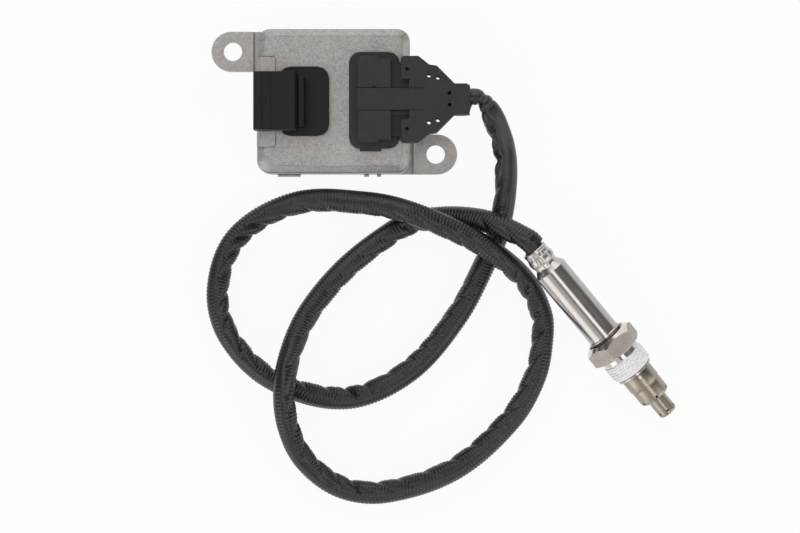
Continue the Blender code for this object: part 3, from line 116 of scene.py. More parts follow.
class SleeveSettings(bpy.types.PropertyGroup):
    """Sizes and colour of the cable sleeve."""

    length: FloatProperty(
        name="Length", description="Length from the boot to the probe", default=0.8412, unit='LENGTH')
    diameter: FloatProperty(
        name="Diameter", description="Outer diameter of the sleeve", default=0.0107, unit='LENGTH')
    rib_pitch: FloatProperty(
        name="Rib Pitch", description="Distance from rib to rib", default=0.0016, unit='LENGTH')
    rib_height: FloatProperty(
        name="Rib Height", description="How far the ribs stand out", default=0.0004, unit='LENGTH')
    fold_depth: FloatProperty(
        name="Fold Depth", description="Depth of the pinches in the bends", default=0.0019, unit='LENGTH')
    fold_slant: FloatProperty(
        name="Fold Slant", description="Shift of a pinch per radian round the sleeve",
        default=0.0045, unit='LENGTH')
    seed: IntProperty(
        name="Seed", description="Choice of where the folds fall", default=7)
    colour: FloatVectorProperty(
        name="Colour", description="Colour of the sleeve", subtype='COLOR', default=(0.012, 0.012, 0.0125))


class ModuleSettings(bpy.types.PropertyGroup):
    """Sizes and colours of the control module and its connectors."""

    shoulder: FloatProperty(
        name="Shoulder", description="Width of the slope round the roof", default=0.0035, unit='LENGTH')
    metal: FloatVectorProperty(
        name="Metal", description="Colour of the cast cover", subtype='COLOR',
        default=(0.395, 0.383, 0.374))
    sheet: FloatVectorProperty(
        name="Sheet", description="Colour of the pressed base plate", subtype='COLOR',
        default=(0.42, 0.402, 0.388))
    connector: FloatVectorProperty(
        name="Connector", description="Colour of the vehicle connector", subtype='COLOR',
        default=(0.007, 0.007, 0.0076))
    boot: FloatVectorProperty(
        name="Boot", description="Colour of the plug and its boot", subtype='COLOR',
        default=(0.028, 0.028, 0.0293))


class ProbeSettings(bpy.types.PropertyGroup):
    """Sizes and colours of the probe."""

    sides: IntProperty(
        name="Sides", description="Sides of the round pieces", default=96)
    thread_pitch: FloatProperty(
        name="Thread Pitch", description="Distance from turn to turn", default=0.0015, unit='LENGTH')
    tube: FloatVectorProperty(
        name="Tube", description="Colour of the polished sleeve", subtype='COLOR',
        default=(0.47, 0.45, 0.43))
    nut: FloatVectorProperty(
        name="Nut", description="Colour of the nut's flats", subtype='COLOR', default=(0.42, 0.39, 0.36))
    guard: FloatVectorProperty(
        name="Guard", description="Colour of the guard tubes", subtype='COLOR', default=(0.345, 0.31, 0.26))


class Flow:
    """A socket of one material's nodes, which arithmetic extends by Math nodes."""

    def __init__(self, tree, socket=None):
        self.tree = tree
        self.socket = socket

    def node(self, kind, settings=None, links=None, output=0):
        """Add a node: its settings first, then the values or links of its sockets."""
        made = self.tree.nodes.new(kind)
        for key, value in (settings or {}).items():
            if key == "stops":
                ramp = made.color_ramp
                ramp.elements.remove(ramp.elements[1])
                for index, (place, colour) in enumerate(value):
                    stop = ramp.elements.new(place) if index else ramp.elements[0]
                    stop.position = place
                    stop.color = (*colour, 1.0)
            else:
                setattr(made, key, value)
        for key, value in (links or {}).items():
            if isinstance(value, Flow):
                self.tree.links.new(value.socket, made.inputs[key])
            else:
                made.inputs[key].default_value = value
        return Flow(self.tree, made.outputs[output])

    def math(self, operation, *parts):
        """Math node on numbers or sockets."""
        return self.node("ShaderNodeMath", {"operation": operation}, dict(enumerate(parts)))

    def __add__(self, other):
        return self.math('ADD', self, other)

    __radd__ = __add__

    def __sub__(self, other):
        return self.math('SUBTRACT', self, other)

    def __rsub__(self, other):
        return self.math('SUBTRACT', other, self)

    def __mul__(self, other):
        return self.math('MULTIPLY', self, other)

    __rmul__ = __mul__

    def __abs__(self):
        return self.math('ABSOLUTE', self)

    def rise(self, low, high):
        """Smooth step from 0 at low to 1 at high."""
        return self.node("ShaderNodeMapRange", {"interpolation_type": 'SMOOTHSTEP'},
                         {"Value": self, "From Min": low, "From Max": high})

    def near(self, middle, half, soft):
        """1 within half of the middle, falling to 0 over soft."""
        return 1 - abs(self - middle).rise(half, half + soft)

    def mix(self, first, second):
        """Colour between two, with this socket as the share of the second."""
        first, second = [colour if isinstance(colour, Flow) else (*colour, 1.0)
                         for colour in (first, second)]
        return self.node("ShaderNodeMix", {"data_type": 'RGBA'}, {0: self, 6: first, 7: second}, 2)

    def vector(self, operation, *parts, output=0):
        """Vector Math node on vectors or sockets."""
        return self.node("ShaderNodeVectorMath", {"operation": operation}, dict(enumerate(parts)), output)

    def noise(self, scale, detail=2.0, roughness=0.5, stretch=None):
        """Noise over this position, optionally stretched along its axes."""
        place = self.vector('MULTIPLY', self, stretch) if stretch else self
        return self.node("ShaderNodeTexNoise", None,
                         {"Vector": place, "Scale": scale, "Detail": detail, "Roughness": roughness})


class Finish:
    """One procedural material, with its shader and the position on the piece."""

    def __init__(self, name, metallic=0.0, **fixed):
        self.skin = bpy.data.materials.new(name)
        self.skin.use_nodes = True
        tree = self.skin.node_tree
        self.shader = tree.nodes["Principled BSDF"]
        self.shader.inputs["Metallic"].default_value = metallic
        for key, value in fixed.items():
            self.shader.inputs[key.replace("_", " ")].default_value = value
        self.place = Flow(tree).node("ShaderNodeTexCoord", output=3)
        self.x, self.y, self.z = [
            self.place.node("ShaderNodeSeparateXYZ", None, {0: self.place}, axis) for axis in range(3)]

    def set(self, **sockets):
        """Link or set sockets of the shader."""
        for key, value in sockets.items():
            target = self.shader.inputs[key.replace("_", " ")]
            if isinstance(value, Flow):
                self.skin.node_tree.links.new(value.socket, target)
            else:
                target.default_value = value
        return self

    def mottle(self, share, colour, dark, light):
        """Mix of a darker and a lighter share of a colour, from a socket near one half."""
        return share.rise(0.3, 0.7).mix(scaled(colour, dark), scaled(colour, light))

    def bump(self, height, strength, distance):
        """Relief from a height socket."""
        self.set(Normal=height.node("ShaderNodeBump", None, {
            "Height": height, "Strength": strength, "Distance": distance}))
        return self


def scaled(colour, share):
    """Colour made lighter or darker by a share."""
    return tuple(min(channel * share, 1.0) for channel in colour)


def cast_metal(name, colour, contrast=1.0):
    """Satin aluminium with a mottled grain and pale specks."""
    skin = Finish(name, 0.85)
    broad = skin.place.noise(70.0, 3.0)
    cloud = skin.place.noise(650.0, 3.0, 0.6)
    grain = skin.place.noise(1700.0, 2.0, 0.7)
    tone = (broad - 0.5) * 0.25 + (cloud - 0.5) * 0.6 + (grain - 0.5) * 1.5 * contrast + 0.5
    body = tone.rise(0.12, 0.88).mix(scaled(colour, 0.7), scaled(colour, 1.26))
    specks = skin.place.noise(1900.0, 0.0).rise(0.76, 0.86)
    skin.set(Base_Color=(specks * 0.6).mix(body, scaled(colour, 1.7)),
             Roughness=0.52 + (grain - 0.5) * 0.3 - specks * 0.08)
    return skin.bump(grain + cloud * 0.5, 0.4, 0.00012)


def moulded(name, colour, roughness, grain_scale=2600.0, relief=0.25, **fixed):
    """Moulded plastic with a fine grain, faint flow marks and slight wear."""
    skin = Finish(name, **fixed)
    cloud = skin.place.noise(140.0, 3.0)
    grain = skin.place.noise(grain_scale, 2.0, 0.6)
    skin.set(Base_Color=skin.mottle(cloud * 0.6 + grain * 0.4, colour, 0.86, 1.18),
             Roughness=roughness + (cloud - 0.5) * 0.18 + (grain - 0.5) * 0.12)
    return skin.bump(grain, relief, 0.00006)


def turned_metal(name, colour, roughness):
    """Metal with fine turning lines round the local Z axis."""
    skin = Finish(name, 1.0)
    rings = skin.place.noise(60.0, 3.0, 0.7, stretch=(0.6, 0.6, 90.0))
    cloud = skin.place.noise(300.0, 3.0)
    skin.set(Base_Color=skin.mottle(cloud * 0.7 + rings * 0.3, colour, 0.88, 1.08),
             Roughness=roughness + (rings - 0.5) * 0.12 + (cloud - 0.5) * 0.06)
    return skin.bump(rings, 0.12, 0.00004)


def dress(item, skin):
    """Give a piece one material."""
    item.data.materials.clear()
    item.data.materials.append(skin.skin)


def new_piece(name, mesh, sharp=35.0):
    """Object from a mesh, smooth but for its sharp edges."""
    item = bpy.data.objects.new(name, mesh)
    bpy.context.scene.collection.objects.link(item)
    mesh.shade_smooth()
    mesh.set_sharp_from_angle(angle=math.radians(sharp))
    return item


def from_form(name, form):
    """Object from a bmesh."""
    mesh = bpy.data.meshes.new(name)
    form.to_mesh(mesh)
    form.free()
    return new_piece(name, mesh)


def settle(item, skin, body, slot, *nodes):
    """Finish a piece, and let it ride on its body and stand for its CAD nodes."""
    dress(item, skin)
    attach(item, body)
    if nodes:
        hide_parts(*nodes)


def bake(item, sharp=35.0):
    """Apply the modifiers of a piece, and mark its sharp edges anew where an angle is given."""
    graph = bpy.context.evaluated_depsgraph_get()
    mesh = bpy.data.meshes.new_from_object(item.evaluated_get(graph))
    mesh.name = item.name
    item.modifiers.clear()
    item.data = mesh
    if sharp:
        mesh.shade_smooth()
        mesh.set_sharp_from_angle(angle=math.radians(sharp))


def combine(item, tools, operation='DIFFERENCE'):
    """Cut, join or intersect a piece with working shapes, and remove those."""
    for tool in tools:
        step = item.modifiers.new("step", 'BOOLEAN')
        step.operation = operation
        step.object = tool
        step.solver = 'EXACT'
    bake(item)
    for tool in tools:
        bpy.data.objects.remove(tool)


def bevel(item, width, segments, angle, sharp, miter='MITER_SHARP'):
    """Round the edges over an angle, while large faces keep a flat look beside them."""
    step = item.modifiers.new("soften", 'BEVEL')
    step.width = width
    step.segments = segments
    step.limit_method = 'ANGLE'
    step.angle_limit = math.radians(angle)
    step.miter_outer = miter
    bake(item, sharp)
    item.modifiers.new("even", 'WEIGHTED_NORMAL').keep_sharp = True
    bake(item, None)


def soften(item, width, segments, angle, upright=None):
    """Round the sharp edges of a piece, and first its upright ones by a size from their place."""
    form = bmesh.new()
    form.from_mesh(item.data)
    bmesh.ops.remove_doubles(form, verts=form.verts, dist=0.00002)
    bmesh.ops.dissolve_limit(form, angle_limit=math.radians(1), verts=form.verts, edges=form.edges)
    sizes = {}
    for edge in form.edges if upright else ():
        first, second = [end.co for end in edge.verts]
        if (edge.is_manifold and edge.is_convex and (first - second).xy.length < 0.00001
                and (first - second).length > 0.002 and edge.calc_face_angle() > 0.4):
            sizes.setdefault(upright(first), []).append(edge)
    for size, edges in sizes.items():
        bmesh.ops.bevel(form, geom=[edge for edge in edges if edge.is_valid], offset=size,
                        segments=5, profile=0.5, affect='EDGES', clamp_overlap=True)
    form.to_mesh(item.data)
    form.free()
    bevel(item, width, segments, angle, 50.0, 'MITER_ARC')


def from_node(name, node):
    """Copy of a CAD node's mesh as a new piece."""
    item = bpy.data.objects.new(name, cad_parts[node].data.copy())
    bpy.context.scene.collection.objects.link(item)
    return item


def rod(start, end, radius, sides=24):
    """Working round bar between two points."""
    start = Vector(start)
    along = Vector(end) - start
    form = bmesh.new()
    bmesh.ops.create_cone(form, cap_ends=True, segments=sides, radius1=radius, radius2=radius,
                          depth=along.length)
    turn = along.to_track_quat('Z', 'Y').to_matrix().to_4x4()
    bmesh.ops.transform(form, matrix=Matrix.Translation(start + along / 2) @ turn, verts=form.verts)
    return from_form("rod", form)


def loft(name, rings, wrap=False, sharp=35.0):
    """Piece through closed rings of equal count, with end faces or joined end to end."""
    rings = np.asarray(rings, float)
    count, sides = rings.shape[:2]
    faces = []
    for row in range(count if wrap else count - 1):
        below = row * sides
        above = (row + 1) % count * sides
        for side in range(sides):
            after = (side + 1) % sides
            faces.append((below + side, below + after, above + after, above + side))
    if not wrap:
        faces.append(tuple(range(sides - 1, -1, -1)))
        faces.append(tuple((count - 1) * sides + side for side in range(sides)))
    mesh = bpy.data.meshes.new(name)
    mesh.from_pydata(rings.reshape(-1, 3).tolist(), [], faces)
    mesh.validate()
    form = bmesh.new()
    form.from_mesh(mesh)
    bmesh.ops.remove_doubles(form, verts=form.verts, dist=0.000001)
    bmesh.ops.recalc_face_normals(form, faces=form.faces)
    form.to_mesh(mesh)
    form.free()
    return new_piece(name, mesh, sharp)


def round_box(low_x, low_y, high_x, high_y, corner, steps=8):
    """Outline of a rectangle with round corners, counterclockwise."""
    points = []
    for x, y, start in ((high_x - corner, high_y - corner, 0), (low_x + corner, high_y - corner, 90),
                        (low_x + corner, low_y + corner, 180), (high_x - corner, low_y + corner, 270)):
        for step in range(steps + 1):
            angle = math.radians(start + 90 * step / max(steps, 1))
            points.append((x + corner * math.cos(angle), y + corner * math.sin(angle)))
    return points


def block(low, high, corner=0.0):
    """Working box with optionally round upright corners."""
    outline = round_box(*low[:2], *high[:2], corner, 8 if corner else 0)
    return loft("block", [[(x, y, z) for x, y in outline] for z in (low[2], high[2])])


def slab(name, low, high, corner, levels, ease=1.0):
    """Rounded slab between two corners; levels give (height, inset) from the foot up."""
    rings = []
    for height, inset in levels:
        outline = round_box(low[0] + inset, low[1] + inset, high[0] - inset, high[1] - inset,
                            max(corner - inset * ease, 0.0002))
        rings.append([(x, y, height) for x, y in outline])
    return loft(name, rings)


def lathe(name, profile, sides, shape=None, wrap=False, sharp=35.0):
    """Round piece about the probe's axis from (radius, station) points, in millimetres."""
    angles = np.arange(sides) * math.tau / sides
    rings = []
    for radius, station in profile:
        reach = np.full(sides, radius) if shape is None else shape(radius, station, angles)
        rings.append(np.stack([reach * np.cos(angles), reach * np.sin(angles),
                               np.full(sides, station)], 1) * MM)
    item = loft(name, rings, wrap=wrap, sharp=sharp)
    item.matrix_world = PROBE_FRAME
    return item


def dense(profile, spacing):
    """Profile with extra points so that none are further apart than the spacing along it."""
    points = [profile[0]]
    for before, after in zip(profile, profile[1:]):
        parts = max(1, math.ceil(math.dist(before, after) / spacing))
        for step in range(1, parts + 1):
            share = step / parts
            points.append((before[0] + (after[0] - before[0]) * share,
                           before[1] + (after[1] - before[1]) * share))
    return points


def quarter(radius, station, size, start, end, steps=4):
    """Profile points on a round edge, about a middle, between two angles in degrees."""
    return [(radius + size * math.cos(math.radians(start + (end - start) * step / steps)),
             station + size * math.sin(math.radians(start + (end - start) * step / steps)))
            for step in range(steps + 1)]


def blurred(values, window):
    """Values smoothed by a window, with their ends held."""
    padded = np.pad(values, len(window) // 2, mode="edge")
    return np.convolve(padded, window / window.sum(), mode="valid")


def sleeve_line(spacing):
    """Even points, sideways and upward directions along the sleeve's middle line."""
    out = Vector((1.0, 0.0, 0.0))
    first = SLEEVE_START + out * STRAIGHT_START
    last = PROBE_START - PROBE_WAY * STRAIGHT_END
    points = [first, *[Vector(point) for point in SLEEVE_ROUTE], last]
    ways = [out, *[(after - before).normalized() for before, after in zip(points, points[2:])],
            PROBE_WAY]
    fine = [SLEEVE_START, first]
    for place in range(len(points) - 1):
        here, there = points[place], points[place + 1]
        pull = (there - here).length / 3
        fine.extend(interpolate_bezier(here, here + ways[place] * pull,
                                       there - ways[place + 1] * pull, there, 24)[1:])
    fine.append(PROBE_START)
    fine = np.array(fine)
    along = np.concatenate([[0.0], np.cumsum(np.linalg.norm(np.diff(fine, axis=0), axis=1))])
    stations = np.linspace(0.0, along[-1], round(along[-1] / spacing) + 1)
    line = np.stack([np.interp(stations, along, fine[:, axis]) for axis in range(3)], 1)
    tangent = np.stack([blurred(column, np.ones(9)) for column in np.gradient(line, axis=0).T], 1)
    tangent /= np.linalg.norm(tangent, axis=1)[:, None]
    side = np.cross(tangent, (0.0, 0.0, 1.0))
    side /= np.linalg.norm(side, axis=1)[:, None]
    rise = np.cross(side, tangent)
    return line, tangent, side, rise, stations


def bend_of(tangent, side, stations, reach):
    """Signed bend towards the side, per metre, smoothed over a reach."""
    change = np.gradient(tangent, stations, axis=0)
    bend = np.einsum("ij,ij->i", change, side)
    half = max(1, round(reach / (stations[1] - stations[0])))
    return blurred(bend, np.hanning(2 * half + 3)[1:-1])


def smooth(value, low, high):
    """Smooth step from 0 at low to 1 at high."""
    share = np.clip((value - low) / (high - low), 0.0, 1.0)
    return share * share * (3.0 - 2.0 * share)


def sleeve_radius(settings, stations, bend, angles):
    """Radius over (station, angle): ribs, a lengthwise line, and cusped folds inside the bends."""
    draw = random.Random(settings.seed)
    radius = settings.diameter / 2
    s = stations[:, None]
    a = angles[None, :]
    total = stations[-1]
    hand = np.tanh(bend / 7.0)[:, None]
    strength = np.clip(np.abs(bend) / 19.0, 0.0, 1.25)[:, None]
    off = (a - hand * math.pi / 2 + math.pi) % math.tau - math.pi
    wander = 0.30 * np.sin(s * 14.0 + 0.6) + 0.14 * np.sin(s * 43.0 + 1.0)
    reach = np.full((len(stations), len(angles)), radius)

    line_off = np.abs((a + 0.2 * hand - wander + math.pi) % math.tau - math.pi)
    line = np.exp(-(line_off / 0.13) ** 2)
    waver = 0.0006 * np.sin(2 * a + s * 60.0) + 0.0004 * np.sin(3 * a - s * 23.0)
    grooves = (0.5 + 0.5 * np.cos((s + waver) / settings.rib_pitch * math.tau)) ** 3
    patches = 0.74 + 0.26 * np.sin(s * 71.0 + 2.0 * np.sin(a + s * 19.0))
    reach -= settings.rib_height * grooves * (1 - 0.8 * line) * patches * (
        0.12 + 0.88 * smooth(s, 0.048, 0.075))
    reach -= 0.0003 * line * smooth(s, 0.03, 0.06)
    reach += 0.00016 * np.sin(2 * a + s * 31.0) + 0.00012 * np.sin(3 * a - s * 53.0)

    cells = [0.0095]
    while cells[-1] < total + 0.02:
        cells.append(cells[-1] + (draw.uniform(0.0125, 0.0175) if cells[-1] < 0.06
                                  else draw.uniform(0.0085, 0.0155)))
    cells = np.array(cells)
    depths = np.array([draw.uniform(0.6, 1.2) for _ in cells])
    edges = np.array([draw.uniform(-0.25, 0.25) for _ in cells])
    place = s - settings.fold_slant * off * np.sign(hand)
    index = np.clip(np.searchsorted(cells, place) - 1, 0, len(cells) - 2)
    share = np.clip((place - cells[index]) / (cells[index + 1] - cells[index]), 0.0, 1.0)
    near = np.where(share < 0.5, index, index + 1)
    cusp = 1 - np.abs(np.sin(math.pi * share)) ** 0.58
    span = 1 - smooth(np.abs(off), 0.95 + edges[near], 1.85 + edges[near])
    reach -= settings.fold_depth * depths[near] * strength * span * cusp
    half = 1 - np.sqrt(np.abs(np.sin(math.tau * share)))
    reach -= (settings.fold_depth * 0.3 * depths[index] * strength * half
              * np.exp(-(off / 0.7) ** 2))
    reach += 0.0003 * strength * span * (1 - cusp)

    for centre, first, last, depth, width in ((0.62, 0.012, 0.050, 0.0011, 0.24),
                                              (-0.35, 0.020, 0.060, 0.0008, 0.20),
                                              (1.35, 0.010, 0.040, 0.0009, 0.26)):
        run = smooth(s, first, first + 0.012) * (1 - smooth(s, last - 0.012, last))
        turn = (a - centre - 9.0 * (s - first) + math.pi) % math.tau - math.pi
        reach -= depth * run * (np.exp(-(turn / width) ** 2)
                                - 0.5 * np.exp(-((np.abs(turn) - 2 * width) / width) ** 2))
    for middle, depth, width in ((0.0046, 0.0011, 0.0009), (0.0082, 0.0005, 0.0007)):
        reach -= depth * (1 + 0.3 * np.cos(a - 1.0)) * np.exp(-((s - middle) / width) ** 2)
    ends = np.minimum(np.clip(s / 0.001, 0, 1), np.clip((total - s) / 0.002, 0, 1))
    return radius + (reach - radius) * (0.25 + 0.75 * ends)


class SENSOR_OT_stage(bpy.types.Operator):
    """Make the floor, the surroundings that light the object, and the camera."""

    bl_idname = "sensor.stage"
    bl_label = "Stage"

    def execute(self, context):
        camera = bpy.data.objects.new("camera", bpy.data.cameras.new("camera"))
        context.scene.collection.objects.link(camera)
        camera.data.lens = 100.0
        camera.data.sensor_width = 36.0
        camera.data.clip_end = 10.0
        camera.location = (0.0311, -0.0773, 1.0533)
        context.scene.camera = camera
        context.scene.view_settings.view_transform = 'Standard'

        form = bmesh.new()
        bmesh.ops.create_grid(form, x_segments=1, y_segments=1, size=6.0)
        floor = from_form("floor", form)
        paper = Finish("floor_paper", Roughness=0.9)
        tree = paper.skin.node_tree
        tone = paper.place.noise(3.0)
        paper.set(Base_Color=tone.mix((0.80, 0.80, 0.80), (0.82, 0.82, 0.82)))
        rays = [paper.place.node("ShaderNodeLightPath", output=output) for output in (0, 3, 6)]
        seen = rays[0].math('MAXIMUM', rays[0], rays[1].math('MAXIMUM', rays[1], rays[2]))
        glow = paper.place.node("ShaderNodeEmission", None, {"Color": (1, 1, 1, 1), "Strength": 1.0})
        blend = tree.nodes.new("ShaderNodeMixShader")
        tree.links.new((seen * 0.93).socket, blend.inputs[0])
        tree.links.new(paper.shader.outputs[0], blend.inputs[1])
        tree.links.new(glow.socket, blend.inputs[2])
        tree.links.new(blend.outputs[0], tree.nodes["Material Output"].inputs["Surface"])
        dress(floor, paper)

        world = bpy.data.worlds.new("surroundings")
        context.scene.world = world
        world.use_nodes = True
        tree = world.node_tree
        way = Flow(tree).node("ShaderNodeTexCoord", output=0)
        east, north = math.cos(PROBE_ANGLE), math.sin(PROBE_ANGLE)
        along = way.vector('DOT_PRODUCT', way, (east, north, 0.0), output=1)
        across = way.vector('DOT_PRODUCT', way, (north, -east, 0.0), output=1)
        lower = along.rise(0.55, 0.70) * across.rise(0.25, 0.50)
        along = abs(along)
        up = way.node("ShaderNodeSeparateXYZ", None, {0: way}, 2)
        wall = across.rise(0.70, 0.86)
        light = (wall * (1 - along.rise(0.30, 0.55)) * 2.1
                 + across.rise(0.30, 0.45) * (1 - wall) * (1 - along.rise(0.4, 0.8)) * 0.75
                 + (1 - abs(across).rise(0.06, 0.22)) * up.rise(0.3, 0.5) * 2.7
                 + along.rise(0.30, 0.50) * (across * -1).rise(0.10, 0.35)
                 * (1 - up.rise(0.65, 0.9)) * 1.9
                 + lower * (1 - up.rise(0.6, 0.85)) * 1.4
                 + (across * -1).rise(0.955, 0.985) * 0.6 + 0.16) * LIGHT
        straight = way.node("ShaderNodeLightPath", output=0)
        strength = straight + light * (1 - straight)
        tree.links.new(strength.socket, tree.nodes["Background"].inputs["Strength"])
        tree.nodes["Background"].inputs["Color"].default_value = (1.0, 0.985, 0.97, 1.0)
        return {'FINISHED'}


class SENSOR_OT_sleeve(bpy.types.Operator):
    """Make the ribbed and creased cable sleeve."""

    bl_idname = "sensor.sleeve"
    bl_label = "Cable Sleeve"

    def execute(self, context):
        settings = context.scene.sensor_sleeve
        line, tangent, side, rise, stations = sleeve_line(0.00029)
        bend = bend_of(tangent, side, stations, 0.014)
        sides = 34
        even = np.linspace(-1.0, 1.0, sides + 1)[:-1]
        angles = math.pi * np.sign(even) * np.abs(even) ** 1.25
        reach = sleeve_radius(settings, stations, bend, angles)
        ring = (rise[:, None, :] * np.cos(angles)[None, :, None]
                + side[:, None, :] * np.sin(angles)[None, :, None])
        aside = PROBE_LEVEL * -0.0012
        middle = line + np.outer(smooth(stations, stations[-1] - 0.02, stations[-1]), aside)
        rings = middle[:, None, :] + ring * reach[:, :, None]
        slant = np.sin(angles)[None, :, None] * tangent[:, None, :] * 0.0012
        rings += slant * smooth(stations, stations[-1] - 0.006, stations[-1])[:, None, None]
        rings[:, :, 2] = np.maximum(rings[:, :, 2], 0.00025)
        lip = middle[-1] + (rings[-1] - middle[-1]) * 0.86
        inside = lip - tangent[-1] * 0.0012
        rings = np.concatenate([rings, [lip], [inside]])
        sleeve = loft("cable_sleeve_ribbed", rings, sharp=70.0)
        skin = Finish("sleeve_skin", Roughness=0.4)
        cloud = skin.place.noise(120.0, 3.0)
        grain = skin.place.noise(1800.0, 2.0, 0.6)
        dust = skin.place.noise(420.0, 4.0, 0.65).rise(0.58, 0.78)
        colour = tuple(settings.colour)
        body = skin.mottle(cloud * 0.6 + grain * 0.4, colour, 0.75, 1.3)
        skin.set(Base_Color=(dust * 0.4).mix(body, scaled(colour, 3.0)),
                 Roughness=0.27 + cloud * 0.12 + (grain - 0.5) * 0.15 + dust * 0.12)
        skin.bump(grain, 0.2, 0.00008)
        settle(sleeve, skin, ASSEMBLY, "cable_sleeve", "cable_sleeve")
        return {'FINISHED'}


def tab_shape(spare=0.0, edge=0.00022):
    """Folded tab at the left of the cover, or with spare its pocket."""
    left = COVER_LOW.x
    inner, outer = 0.0012 - spare, 0.0022
    bend_x, bend_z = left + outer, ROOF - outer
    reach = left + 0.0088 + spare
    y_low, y_high = -0.0215 - spare, 0.0204 + spare
    under = ROOF - 0.001 - spare
    profile = [(left + 0.001 + spare, 0.0004)]
    for step in range(7):
        angle = math.radians(180 - 15 * step)
        profile.append((bend_x + inner * math.cos(angle), bend_z + inner * math.sin(angle)))
    profile.append((reach, under))
    if spare:
        profile += [(reach, ROOF + 0.001), (left - 0.001, ROOF + 0.001), (left - 0.001, 0.0004)]
    else:
        profile.append((reach, ROOF))
        for step in range(7):
            angle = math.radians(90 + 15 * step)
            profile.append((bend_x + outer * math.cos(angle), bend_z + outer * math.sin(angle)))
        profile.append((left, 0.0004))
    rings = [[(x, y, z) for x, z in profile] for y in (y_low, y_high)]
    tab = loft("tab", rings)
    form = bmesh.new()
    form.from_mesh(tab.data)
    ends = [line for line in form.edges if all(abs(end.co.x - reach) < 1e-6 for end in line.verts)
            and abs(line.verts[0].co.y - line.verts[1].co.y) < 1e-6]
    bmesh.ops.bevel(form, geom=ends, offset=0.0014 + spare, segments=6, profile=0.5,
                    affect='EDGES')
    form.to_mesh(tab.data)
    form.free()
    return tab


class SENSOR_OT_housing(bpy.types.Operator):
    """Make the cast cover and the pressed base plate of the module."""

    bl_idname = "sensor.housing"
    bl_label = "Module Housing"

    def execute(self, context):
        settings = context.scene.sensor_module
        metal = cast_metal("cast_cover", tuple(settings.metal))
        sheet = cast_metal("pressed_sheet", tuple(settings.sheet), 0.6)
        low, high = COVER_LOW, COVER_HIGH
        shoulder = settings.shoulder
        levels = [(low.z, 0.0002), (low.z + 0.0003, 0.0), (ROOF - 0.0040, 0.0),
                  (ROOF - 0.0032, 0.00012), (ROOF - 0.0026, 0.0004), (ROOF - 0.0021, 0.0008),
                  (ROOF - 0.00045, shoulder - 0.0005), (ROOF - 0.0001, shoulder - 0.00025),
                  (ROOF, shoulder), (ROOF - 0.00014, shoulder + 0.0003)]
        cover = slab("cover_cast", low, high, 0.006, levels, 0.45)
        wall, roof = 0.0024, 0.002
        inner = slab("hollow", (low.x + wall, low.y + wall), (high.x - wall, high.y - wall), 0.0036,
                     [(low.z - 0.001, 0.0), (ROOF - roof - 0.002, 0.0), (ROOF - roof, 0.002)], 0.4)
        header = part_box("header_seal")
        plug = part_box("plug_seal")
        margin = 0.0024
        openings = [block((seal[0].x + margin, seal[0].y + margin, ROOF - 0.004),
                          (seal[1].x - margin, seal[1].y - margin, ROOF + 0.001), 0.0015)
                    for seal in (header, plug)]
        nicks = [block((x, high.y - 0.0012, ROOF - 0.0022), (x + 0.0009, high.y - 0.0004, ROOF))
                 for x in (-0.0189, -0.0172)]
        combine(cover, [inner, *openings, *nicks, tab_shape(0.0003)])
        soften(cover, 0.00012, 2, 24.0)
        settle(cover, metal, ASSEMBLY, "aluminium_cover", "cover")

        base = from_node("base_plate_pressed", "base_plate")
        top = 0.002
        y_low, y_high = 0.0147, 0.0339
        channel = block((low.x - 0.0021, y_low, 0.0006), (low.x - 0.0001, y_high, top + 0.001))
        edge = rod((low.x - 0.0021, y_low, top), (low.x - 0.0021, y_high, top), 0.0004, 16)
        groove = block((high.x + 0.0001, -y_high, 0.0008), (high.x + 0.0007, -y_low, top + 0.001))
        ridge = rod((high.x + 0.0019, -y_high + 0.0003, 0.0017),
                    (high.x + 0.0019, -y_low - 0.0003, 0.0017), 0.0006, 16)
        combine(base, [ridge], 'UNION')
        combine(base, [channel, edge, groove])
        soften(base, 0.0002, 2, 35.0)
        settle(base, sheet, ASSEMBLY, "aluminium_sheet", "base_plate")
        return {'FINISHED'}


class SENSOR_OT_vehicle_connector(bpy.types.Operator):
    """Make the connector that faces the vehicle's wiring."""

    bl_idname = "sensor.vehicle_connector"
    bl_label = "Vehicle Connector"

    def execute(self, context):
        settings = context.scene.sensor_module
        header = from_node("connector_header_moulded", "connector_header")
        top = HEADER_TOP
        tools = []
        half_line = 0.00016
        for x in (-0.0323, -0.0283):
            tools.append(block((x - half_line, -0.0139, top - 0.00035),
                               (x + half_line, 0.0119, top + 0.001)))
        tools.append(block((-0.0323, 0.00655, top - 0.00035), (-0.0283, 0.00685, top + 0.001)))
        corners = [(-0.0340, -0.00065), (-0.0305, -0.0019), (-0.0305, 0.0006)]
        tools.append(loft("mark", [[(x, y, z) for x, y in corners]
                                   for z in (top - 0.0003, top + 0.0007)]))
        for tool in tools:
            combine(header, [tool])
        soften(header, 0.0003, 3, 40.0)
        skin = moulded("connector_black", tuple(settings.connector), 0.42, 2400.0, 0.3,
                       Specular_IOR_Level=0.2)
        settle(header, skin, ASSEMBLY, "connector_black", "connector_header")
        return {'FINISHED'}


